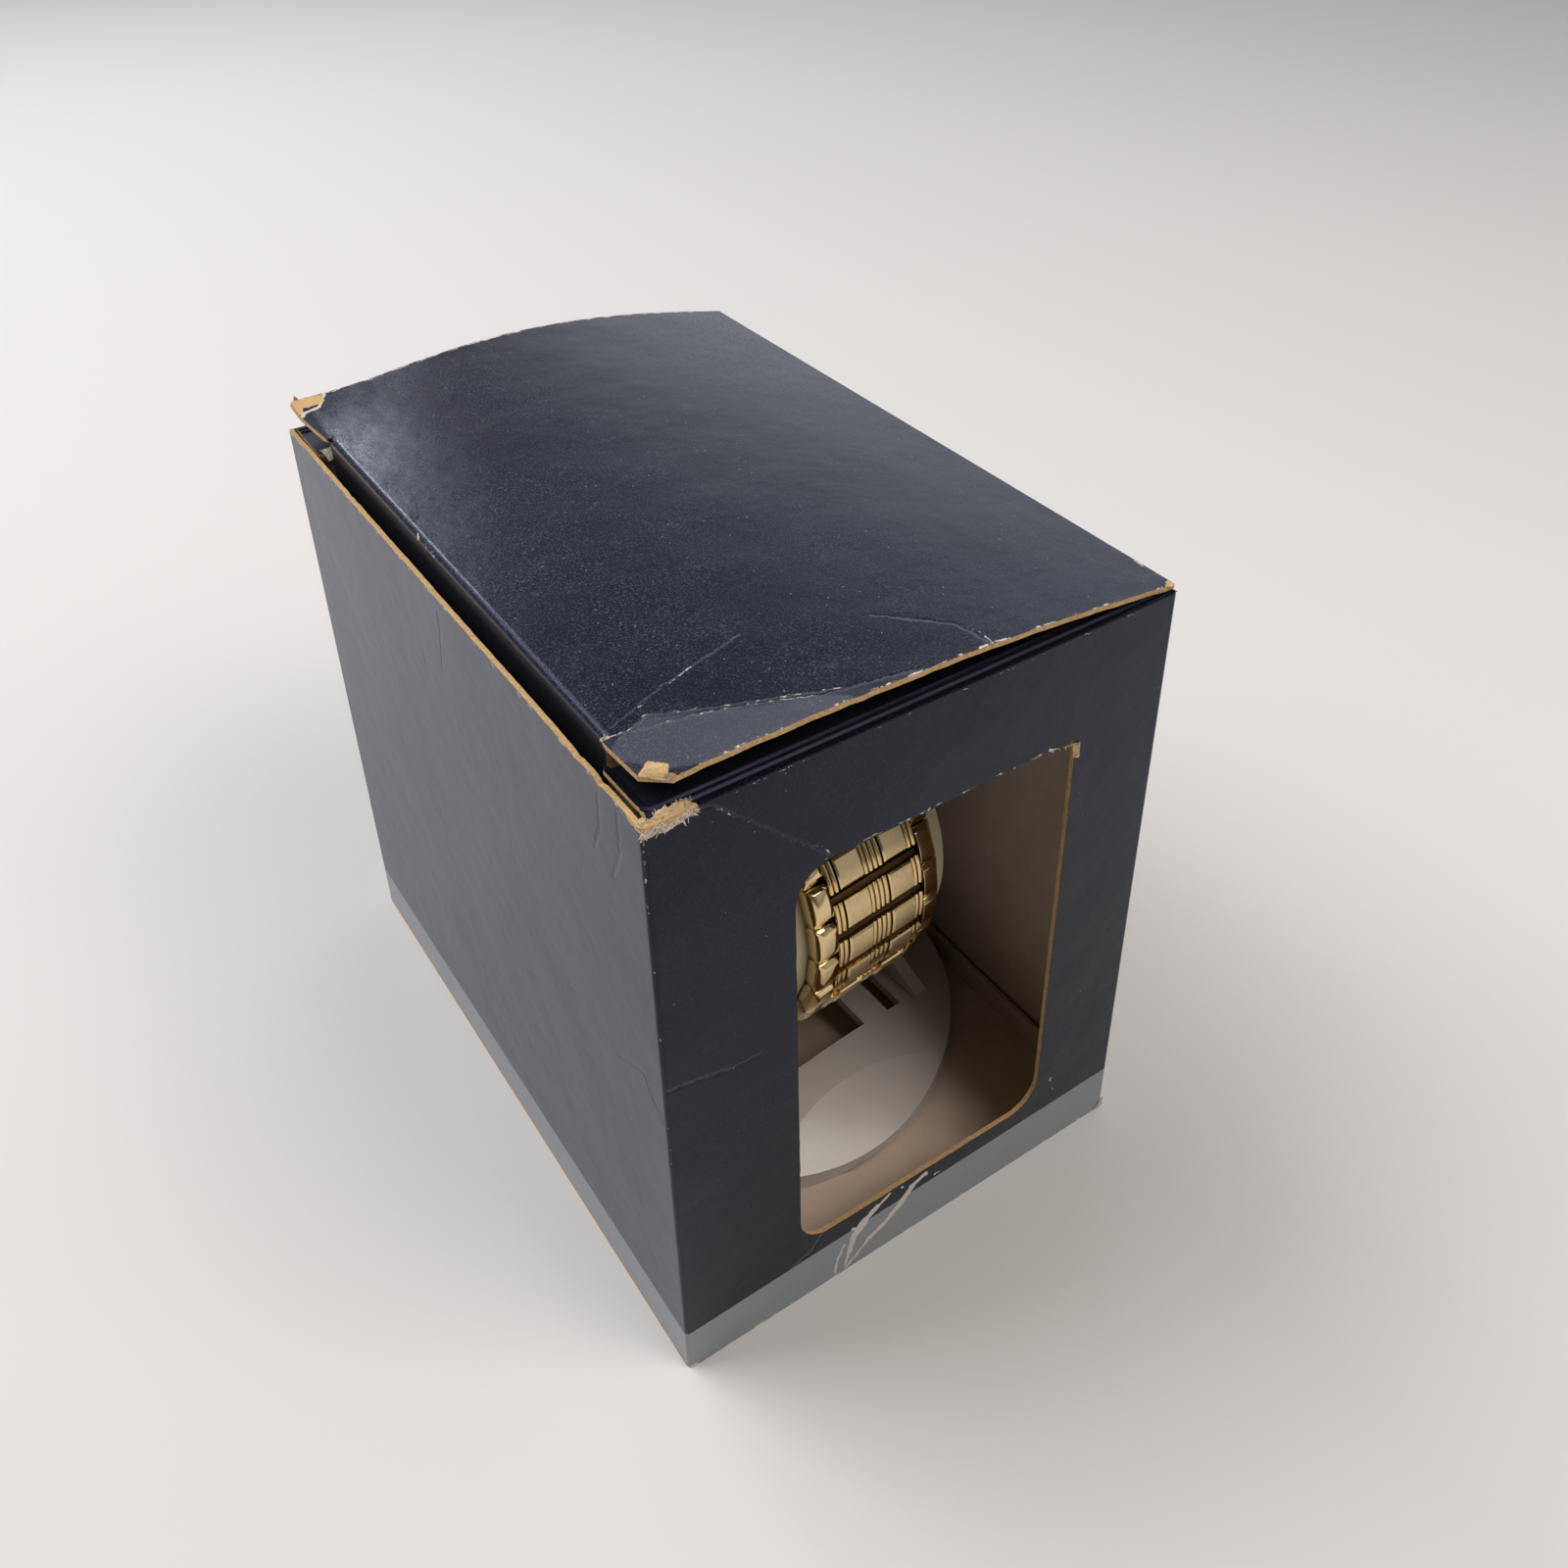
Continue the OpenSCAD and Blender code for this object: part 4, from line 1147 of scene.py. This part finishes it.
@dataclass
class Flaps:
    """The carton's tuck flaps, dust flaps, glue flap and bottom, with cut edges of their own."""

    boards: tuple[Flap, ...] = (
        Flap("tuck_flap", "lid_tuck", (-1, 0, 0), "flap", "printed_board"),
        Flap("front_dust_flap", "front_dust", (0, 0, 1), "flap", "printed_board"),
        Flap("back_dust_flap", "back_dust", (0, 0, 1), "flap", "printed_board"),
        Flap("glue_flap", "carton", (0, 1, 0), "raw", "plain_board"),
        Flap("bottom_front_dust_flap", "carton", (0, 0, -1), "raw", "plain_board"),
        Flap("bottom_back_dust_flap", "carton", (0, 0, -1), "raw", "plain_board"),
        Flap("bottom_panel", "bottom_closure", (0, 0, -1), "band", "band_board"),
        Flap("bottom_tuck_flap", "bottom_closure", (1, 0, 0), "band", "plain_board"),
    )
    ridges: tuple[float, ...] = (1.5, 2.75)
    ridge_rise: float = 0.3
    ridge_half: float = 0.4
    half_depth: float = 63.5
    sprung_from: float = -41.6
    sprung_rise: float = 0.9
    tuck_ends: tuple[float, float] = (-50.3, 47.6)

    def score(self, board: Object, side: int) -> None:
        """Presses the score ridges along a top dust flap's crease.

        Args:
            board: The flap.
            side: -1 for the front one, 1 for the back one.
        """
        with editing(board, "VERT"):
            for inset in self.ridges:
                crest = side * (self.half_depth - inset)
                for level in (crest - self.ridge_half, crest, crest + self.ridge_half):
                    bpy.ops.mesh.select_all(action="SELECT")
                    bpy.ops.mesh.bisect(plane_co=(0, level * MM, 0), plane_no=(0, 1, 0))
                select(board, "verts", lambda v, crest=crest: abs(v.co.y / MM - crest) < NEAR)
                bpy.ops.transform.translate(value=(0, 0, self.ridge_rise * MM))
            if side < 0:
                # its left end has sprung up, so that its cut edge shows beside the wall
                bpy.ops.mesh.select_all(action="SELECT")
                bpy.ops.mesh.bisect(plane_co=(self.sprung_from * MM, 0, 0), plane_no=(1, 0, 0))
                select(board, "verts", lambda v: v.co.x < (self.sprung_from - 0.5) * MM)
                bpy.ops.transform.translate(value=(0, 0, self.sprung_rise * MM))

    def trim_ends(self, board: Object, reach: float) -> None:
        """Sets the tuck flap's ends to the lid's slits.

        Args:
            board: The flap.
            reach: How far its ends stand from the middle now, in metres.
        """
        with editing(board, "VERT"):
            for side, end in zip((-1, 1), self.tuck_ends):
                select(board, "verts", lambda v, side=side: v.co.y * side > reach / 2)
                bpy.ops.transform.translate(value=(0, end * MM - side * reach, 0))

    def build(self, finishes: Finishes) -> None:
        """Copies each board, merges its faces, softens its edges and dresses each face by how it looks."""
        for flap in self.boards:
            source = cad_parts[flap.node]
            board = bpy.data.objects.new(f"{flap.node}_board", source.data.copy())
            bpy.context.scene.collection.objects.link(board)
            only(board)
            bpy.ops.mesh.customdata_custom_splitnormals_clear()
            with editing(board, "VERT"):
                bpy.ops.mesh.select_all(action="SELECT")
                bpy.ops.mesh.remove_doubles(threshold=0.002 * MM)
                bpy.ops.mesh.dissolve_limited(angle_limit=math.radians(2))
            slots(board, getattr(finishes, flap.outer), finishes.raw, finishes.edge)
            outward = Vector(flap.outward)
            creased = {"front_dust_flap": -1, "back_dust_flap": 1}.get(flap.node, 0)
            for face in board.data.polygons:
                facing = face.normal.dot(outward)
                at_crease = face.normal.y * creased > 0.9 and abs(face.center.y) > (
                    self.half_depth - 1.2
                ) * MM
                face.material_index = 0 if facing > 0.8 or at_crease else 1 if facing < -0.8 else 2
            if creased:
                self.score(board, creased)
            if flap.node == "tuck_flap":
                self.trim_ends(board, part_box(flap.node)[1][1])
            modify(
                board,
                "BEVEL",
                width=0.1 * MM,
                segments=2,
                limit_method="ANGLE",
                angle_limit=math.radians(50),
            )
            smooth(board, 30)
            deliver(board, flap.body, flap.slot, flap.node)


@dataclass(frozen=True)
class Scrap:
    """A torn ply of board: its four corners in order, how ragged it is, its finish and its body."""

    corners: tuple[Point, Point, Point, Point]
    rag: float
    finish: str
    body: str = "carton"
    belly: Point = (0.0, 0.0, 0.0)


@dataclass
class TornCorners:
    """Fibres and plies where the board's corners have torn. Sizes in millimetres."""

    fibre_radius: float = 0.05
    seed: int = 23
    across: int = 22
    down: int = 8
    corner_scraps: tuple[Scrap, ...] = (
        Scrap(
            ((-44.4, -63.4, 112.9), (-37.1, -63.5, 113.2), (-37.1, -61.9, 114.2), (-44.4, -61.6, 114.1)),
            0.75,
            "torn",
            belly=(0, -0.3, 0.5),
        ),
        Scrap(
            ((-43.6, -63.6, 112.4), (-37.4, -63.6, 113.0), (-37.0, -63.3, 114.0), (-43.9, -63.4, 113.4)),
            0.45, "paper",
        ),
    )
    lid_scraps: tuple[Scrap, ...] = (
        Scrap(
            ((-42.3, -59.7, 118.6), (-39.8, -62.4, 118.5), (-38.8, -60.7, 119.4), (-40.5, -59.0, 119.6)),
            0.22, "torn", "lid", (-0.2, -0.2, 0.35),
        ),
        Scrap(
            ((42.9, -62.95, 114.95), (44.0, -62.9, 114.8), (44.1, -61.6, 114.95), (43.3, -61.9, 115.15)),
            0.2, "torn", "lid",
        ),
    )
    back_scraps: tuple[Scrap, ...] = (
        Scrap(
            ((-42.6, 52.2, 114.0), (-40.8, 51.6, 114.4), (-40.9, 49.4, 113.4), (-41.9, 49.9, 112.9)), 0.3,
            "paper", "back_dust", (0, 0, 0.4),
        ),
    )
    window_scraps: tuple[Scrap, ...] = (
        Scrap(
            ((25.9, -63.6, 94.3), (27.5, -63.7, 94.0), (27.6, -63.6, 91.4), (26.8, -63.4, 91.6)), 0.3,
            "torn",
        ),
        Scrap(
            ((42.9, -63.6, 0.3), (44.4, -63.7, 0.5), (44.4, -63.6, 2.4), (43.4, -63.6, 1.2)), 0.25, "paper"
        ),
    )

    def fibres(
        self, spots: list[Point], count: int, length: tuple[float, float], spread: float
    ) -> list[Object]:
        """Scatters fine fibres along a line.

        Args:
            spots: The line they grow from.
            count: How many.
            length: Least and greatest length.
            spread: How far from the line they may start.

        Returns:
            The fibres.
        """
        draw = random.Random(self.seed + count)
        made = []
        for _ in range(count):
            part = draw.random() * (len(spots) - 1)
            start, end = Vector(spots[int(part)]), Vector(spots[int(part) + 1])
            root = start.lerp(end, part % 1) + Vector([draw.uniform(-spread, spread) for _ in range(3)])
            bpy.ops.mesh.primitive_cylinder_add(
                vertices=4,
                radius=self.fibre_radius * MM,
                depth=draw.uniform(*length) * MM,
                location=root * MM,
                rotation=(draw.uniform(0.4, 2.1), draw.uniform(-0.9, 0.9), draw.uniform(-1.6, 2.8)),
            )
            fibre = bpy.context.object
            bake_place(fibre)
            made.append(fibre)
        return made

    def scrap(self, shape: Scrap, seed: int) -> Object:
        """Makes a ragged scrap of ply from a small grid.

        Args:
            shape: The scrap.
            seed: For the roughening.

        Returns:
            The scrap, undressed.
        """
        bpy.ops.mesh.primitive_grid_add(x_subdivisions=self.across, y_subdivisions=self.down, size=1)
        ply = bpy.context.object
        a, b, c, d = (Vector(p) for p in shape.corners)
        draw = random.Random(seed)
        for vertex in ply.data.vertices:
            u, v = vertex.co.x + 0.5, vertex.co.y + 0.5
            swell = Vector(shape.belly) * (4 * v * (1 - v) * (4 * u * (1 - u)) ** 0.5)
            rim = u in (0.0, 1.0) or v in (0.0, 1.0)
            rag = shape.rag * (0.5 if rim else 0.22)
            vertex.co = (
                a.lerp(b, u).lerp(d.lerp(c, u), v)
                + swell
                + Vector([draw.uniform(-rag, rag) for _ in range(3)])
            ) * MM
        modify(ply, "SOLIDIFY", thickness=0.18 * MM, offset=0.0)
        smooth(ply, 60)
        return ply

    def lay(self, name: str, shapes: tuple[Scrap, ...], fibres: list[Object], finishes: Finishes) -> None:
        """Makes a body's scraps, joins them and delivers them."""
        parts = []
        for number, shape in enumerate(shapes):
            ply = self.scrap(shape, self.seed + number)
            slots(ply, getattr(finishes, shape.finish))
            parts.append(ply)
        for fibre in fibres:
            slots(fibre, finishes.paper)
        deliver(join(name, parts + fibres), shapes[0].body, "plain_board")

    def build(self, finishes: Finishes) -> None:
        """Adds the carton's torn top corner, lifted plies on the lid's ears and the torn window corner."""
        front_rim = [(-44.4, -63.4, 113.2), (-41, -63.4, 113.0), (-37, -63.4, 113.5)]
        fringe = self.fibres(front_rim, 130, (0.8, 2.1), 0.4) + self.fibres(
            [(-44.3, -62.5, 114), (-37, -62.3, 114.2)], 90, (0.4, 1.2), 0.4
        )
        self.lay("torn_corner", self.corner_scraps, fringe, finishes)
        self.lay(
            "torn_lid_ears", self.lid_scraps,
            self.fibres([(-42.3, -50.4, 117.9), (-41.7, -50.2, 118.0)], 8, (0.3, 0.7), 0.15), finishes,
        )
        self.lay(
            "torn_flap_tip", self.back_scraps,
            self.fibres([(-42.2, 51.9, 114), (-41, 49.8, 113.4)], 8, (0.3, 0.8), 0.2), finishes,
        )
        self.lay(
            "torn_front", self.window_scraps,
            self.fibres([(22, -63.6, 94.9), (27.4, -63.6, 93.8)], 14, (0.3, 0.8), 0.2), finishes,
        )


# ---------- stand and watch ----------


@dataclass
class Ring:
    """The line of the bracelet round the stand's cuff. Sizes in millimetres."""

    centre: Point = (1.129, -18.441, 56.4)
    turn: float = 6.0

    def place(self, angle: float) -> Matrix:
        """The place of a link at an angle round the ring, positive to the front, for a mesh in metres."""
        return Matrix.Translation(Vector(self.centre) * MM) @ Matrix.Rotation(
            math.radians(self.turn), 4, "Z"
        ) @ Matrix.Rotation(math.radians(angle), 4, "X")


@dataclass
class Bracelet:
    """The bracelet's rows: fluted, brushed centre links between bevelled outer links, in millimetres."""

    pitch: float = 13.8
    front_start: float = 42.0
    front_rows: int = 8
    back_rows: int = 7
    foot: float = 26.4
    top: float = 29.8
    ridge: float = 1.0
    block: float = 5.2
    outer: float = 3.7
    gap: float = 0.15
    cleft: float = 1.15
    crown: float = 0.04
    base_drop: float = 0.75
    block_sink: float = 0.24
    side_chamfer: float = 0.95
    end_chamfer: float = 0.85
    foot_round: float = 1.2
    ring: Ring = field(default_factory=Ring)

    @property
    def centre_width(self) -> float:
        """Width of a centre link."""
        return 8 * self.ridge + 2 * self.block

    @property
    def length(self) -> float:
        """Length of a link along the bracelet."""
        return 2 * self.foot * math.tan(math.radians(self.pitch / 2)) - self.gap

    def bevel_edges(self, obj: Object, width: float, segments: int, test: Callable) -> None:
        """Rounds or chamfers the edges that pass a test."""
        with editing(obj, "EDGE"):
            select(obj, "edges", test)
            bpy.ops.mesh.bevel(offset=width * MM, segments=segments, affect="EDGES")

    def plate(
        self, name: str, width: float, long: float, low: float, high: float, centre: float = 0.0
    ) -> Object:
        """Adds a box across the bracelet, between two radii."""
        return add_cube(name, (width, long, high - low), (centre, 0, (low + high) / 2))

    def centre_link(self, finishes: Finishes) -> Object:
        """Models one centre link at the top of the ring.

        Returns:
            The link, with its grain attribute.
        """
        long, top = self.length, self.top
        base = self.plate("centre_link", self.centre_width, long + 0.3, self.foot, top - self.base_drop)
        slots(base, finishes.polished, finishes.brushed, finishes.cleft)
        # the base plate shows only in the clefts between the rows, and takes the gold painted dark as painted
        # shade there
        for face in base.data.polygons:
            face.material_index = 2
        high = (top - self.base_drop - NEAR) * MM
        self.bevel_edges(
            base, 0.7, 2, lambda e: all(v.co.z > high for v in e.verts) and abs(middle(e).y) > 1
        )
        low = (self.foot + NEAR) * MM
        self.bevel_edges(
            base, 0.5, 2, lambda e: all(v.co.z < low for v in e.verts) and abs(middle(e).y) > 1
        )
        parts = [base]
        for side in (-1, 1):
            block = self.plate(
                "block", self.block - self.block_sink, long - self.cleft, top - 1.4, top,
                side * (2 * self.ridge + self.block / 2),
            )
            slots(block, finishes.polished, finishes.brushed, finishes.cleft)
            with editing(block):
                select(block, "faces", lambda f: f.normal.z > 0.9)
                bpy.ops.mesh.inset(thickness=0.3 * MM, depth=0.22 * MM)
            for face in block.data.polygons:
                face.material_index = 1 if face.normal.z > 0.99 else 0
            parts.append(block)
        ends = [(i - 1.5) * self.ridge for i in range(4)] + [
            s * (self.centre_width / 2 - (i + 0.5) * self.ridge) for s in (-1, 1) for i in range(2)
        ]
        for x in ends:
            bpy.ops.mesh.primitive_cylinder_add(
                vertices=14, radius=0.44 * self.ridge * MM, depth=(long - self.cleft + 0.1) * MM,
                location=(x * MM, 0, (top - 0.4) * MM), rotation=(math.pi / 2, 0, 0),
            )
            ridge = bpy.context.object
            bake_place(ridge)
            slots(ridge, finishes.polished, finishes.brushed, finishes.cleft)
            self.bevel_edges(ridge, 0.2, 2, lambda e: abs(middle(e).y) > long / 2 - 0.3)
            parts.append(ridge)
        link = join("centre_link", parts)
        self.crown_over(link, top - 1.0)
        self.finish(link)
        return link

    def crown_over(self, link: Object, level: float) -> None:
        """Cuts a link across into strips and drops its ends, so that its top is crowned along its length."""
        with editing(link, "FACE"):
            for step in range(-3, 4):
                bpy.ops.mesh.select_all(action="SELECT")
                bpy.ops.mesh.bisect(plane_co=(0, step * self.length / 8 * MM, 0), plane_no=(0, 1, 0))
        for vertex in link.data.vertices:
            if vertex.co.z > level * MM:
                vertex.co.z -= self.crown * (vertex.co.y / MM) ** 2 * MM

    def finish(self, link: Object) -> None:
        """Smooths a link and stores its own millimetres, which its grain follows."""
        smooth(link, 32)
        grain = link.data.attributes.new("link_mm", "FLOAT_VECTOR", "POINT")
        grain.data.foreach_set("vector", [c / MM for v in link.data.vertices for c in v.co])

    def outer_link(self, finishes: Finishes) -> Object:
        """Models one right-hand outer link at the top of the ring.

        Returns:
            The link.
        """
        inner = self.centre_width / 2 + self.gap
        link = self.plate(
            "outer_link", self.outer, self.length + 0.35, self.foot, self.top - 0.1, inner + self.outer / 2
        )
        slots(link, finishes.polished, finishes.case_gold)
        high, low, far = (self.top - 0.11) * MM, (self.foot + NEAR) * MM, inner + self.outer - NEAR
        self.bevel_edges(
            link, self.side_chamfer, 1, lambda e: all(v.co.z > high for v in e.verts) and middle(e).x > far
        )
        self.bevel_edges(
            link, self.end_chamfer, 1,
            lambda e: all(v.co.z > high for v in e.verts) and abs(middle(e).y) > 1,
        )
        self.bevel_edges(
            link, self.foot_round, 4, lambda e: all(v.co.z < low for v in e.verts) and abs(middle(e).y) > 1
        )
        modify(
            link, "BEVEL", width=0.1 * MM, segments=2, limit_method="ANGLE", angle_limit=math.radians(28)
        )
        self.crown_over(link, self.top - 0.8)
        self.finish(link)
        return link

    def copies(
        self, name: str, link: Object, angles: list[float], sides: tuple[int, ...], nodes: str
    ) -> None:
        """Sets copies of a link round the ring, each a piece with a mesh of its own.

        Args:
            name: The pieces' name, which a number follows.
            link: The model link, which is used up.
            angles: Their places round the ring.
            sides: 1 for the link as it is, -1 for its mirror image.
            nodes: The CAD node they stand for.
        """
        made = []
        for angle in angles:
            for side in sides:
                copy = bpy.data.objects.new(f"{name}_{len(made) + 1:02d}", link.data.copy())
                bpy.context.scene.collection.objects.link(copy)
                copy.data.transform(Matrix.Scale(side, 4, (1, 0, 0)))
                if side < 0:
                    with editing(copy):
                        bpy.ops.mesh.select_all(action="SELECT")
                        bpy.ops.mesh.flip_normals()
                copy.data.transform(self.ring.place(angle))
                made.append(copy)
        bpy.data.objects.remove(link, do_unlink=True)
        for copy in made:
            deliver(copy, "watch", "link_gold", nodes)

    def build(self, finishes: Finishes) -> None:
        """Models a link of each kind and lays the rows."""
        back_start = 360 - self.front_start - self.back_rows * self.pitch
        parts = ((self.front_start, self.front_rows), (back_start, self.back_rows))
        middles = [start + (i + 0.5) * self.pitch for start, rows in parts for i in range(rows)]
        joints = [start + i * self.pitch for start, rows in parts for i in range(1, rows)]
        self.copies("centre_link", self.centre_link(finishes), middles, (1,), "centre_links")
        self.copies("outer_link", self.outer_link(finishes), joints, (1, -1), "outer_links")


@dataclass(frozen=True)
class CadDress:
    """The finishes that the CAD's own parts take."""

    by_finish: tuple[tuple[str, tuple[str, ...]], ...] = (
        ("white", ("stand_base",)),
        ("cream", ("cuff",)),
        ("case_gold", ("case_middle", "case_back", "end_links", "clasp_plate")),
        ("polished", ("bezel", "crown", "clasp_cover")),
        ("hand_gold", ("dial_ring", "hour_markers", "hour_hand", "minute_hand")),
        ("glass", ("crystal",)),
        ("nylon", ("crystal_gasket", "movement_holder")),
        ("dial", ("dial",)),
        ("brass", ("movement",)),
        ("steel", ("winding_stem", "spring_bars", "link_pins", "clasp_hinge_pin")),
    )

    def build(self, finishes: Finishes) -> None:
        """Assigns each finish to its nodes' slots."""
        for key, nodes in self.by_finish:
            finish = getattr(finishes, key)
            for node in nodes:
                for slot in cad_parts[node].material_slots:
                    slot.material = finish
                LOG.info("%s is dressed as %s", node, finish.name)


# ---------- studio ----------


@dataclass(frozen=True)
class Lamp:
    """A soft square lamp: its place and what it looks at in metres, its side, its power and its colour."""

    name: str
    place: Point
    size: float
    watts: float
    colour: str
    aim: Point = (0.0, 0.0, 0.06)


@dataclass
class Studio:
    """A pale floor, soft daylight and the camera."""

    floor_colour: str = "#e2dfdc"
    sky_colour: str = "#f0f2f8"
    sky_strength: float = 1.0
    lamps: tuple[Lamp, ...] = (
        Lamp("window light", (-0.02, 0.97, 0.7), 0.2, 2.0, "#fbfcff"),
        Lamp("ceiling light", (-0.6, 0.6, 1.2), 1.0, 15.5, "#fbfcff"),
        Lamp("room light", (0.25, -0.5, 0.8), 0.5, 4.0, "#fff8f0"),
    )
    camera_place: Point = (-0.1025949, -0.1838927, 0.2334951)
    camera_right: Point = (0.83045, -0.55685, -0.01617)
    camera_down: Point = (-0.31499, -0.44542, -0.83808)
    camera_ahead: Point = (0.45949, 0.70108, -0.54530)
    focal_pixels: float = 1533.2
    picture: float = 1600.0
    centre_row: float = 602.0
    sensor: float = 36.0

    def camera(self) -> None:
        """Sets the camera."""
        data = bpy.data.cameras.new("camera")
        data.sensor_width = self.sensor
        data.lens = self.focal_pixels / self.picture * self.sensor
        data.shift_y = -(self.picture / 2 - self.centre_row) / self.picture
        data.clip_start = 0.01
        camera = bpy.data.objects.new("camera", data)
        bpy.context.scene.collection.objects.link(camera)
        axes = (Vector(self.camera_right), -Vector(self.camera_down), -Vector(self.camera_ahead))
        camera.matrix_world = Matrix.Translation(self.camera_place) @ Matrix(axes).transposed().to_4x4()
        bpy.context.scene.camera = camera

    def hang(self, lamp: Lamp) -> None:
        """Adds a lamp to the scene."""
        data = bpy.data.lights.new(lamp.name, "AREA")
        data.size, data.energy, data.color = lamp.size, lamp.watts, linear(lamp.colour)[:3]
        light = bpy.data.objects.new(lamp.name, data)
        bpy.context.scene.collection.objects.link(light)
        light.location = lamp.place
        light.rotation_euler = (Vector(lamp.aim) - Vector(lamp.place)).to_track_quat("-Z", "Y").to_euler()

    def daylight(self) -> None:
        """Makes the sky: bright low at the back and on the right, dimmer above and in front."""
        world = bpy.data.worlds.new("daylight")
        world.use_nodes = True
        tree = world.node_tree
        way = add_node(tree, "ShaderNodeTexCoord").outputs["Generated"]
        apart = add_node(tree, "ShaderNodeSeparateXYZ", {0: way}).outputs
        low = ramp(tree, apart[2], (0.36, 0.62), (1.15, 0.4), "SMOOTHSTEP")
        back = ramp(tree, apart[1], (-0.4, 0.4), (0.4, 1.0), "SMOOTHSTEP")
        right = ramp(tree, apart[0], (0.14, 0.46), (0.28, 1.0), "SMOOTHSTEP")
        side = maths(tree, "MULTIPLY", back, right)
        level = maths(tree, "MULTIPLY", side, low)
        strength = maths(tree, "MULTIPLY", level, self.sky_strength)
        background = tree.nodes["Background"]
        background.inputs["Color"].default_value = linear(self.sky_colour)
        tree.links.new(strength.outputs[0], background.inputs["Strength"])
        bpy.context.scene.world = world

    def build(self) -> None:
        """Lays the floor, lights it and sets the camera."""
        bpy.context.scene.view_settings.view_transform = "Standard"
        bpy.ops.mesh.primitive_plane_add(size=6)
        floor = bpy.context.object
        floor.name = "floor"
        paint = bpy.data.materials.new("matt paper")
        paint.use_nodes = True
        shader = paint.node_tree.nodes["Principled BSDF"]
        shader.inputs["Base Color"].default_value = linear(self.floor_colour)
        shader.inputs["Roughness"].default_value = 0.8
        floor.data.materials.append(paint)
        self.daylight()
        for lamp in self.lamps:
            self.hang(lamp)
        self.camera()


def main() -> None:
    """Builds the studio, the carton, the stand and the watch in order."""
    logging.basicConfig(level=logging.INFO, format="%(name)s: %(message)s")
    Studio().build()
    finishes = Finishes.make()
    CadDress().build(finishes)
    for part in (Sleeve(), Lid(), Flaps(), TornCorners(), Bracelet()):
        part.build(finishes)


if __name__ == "__main__":
    main()
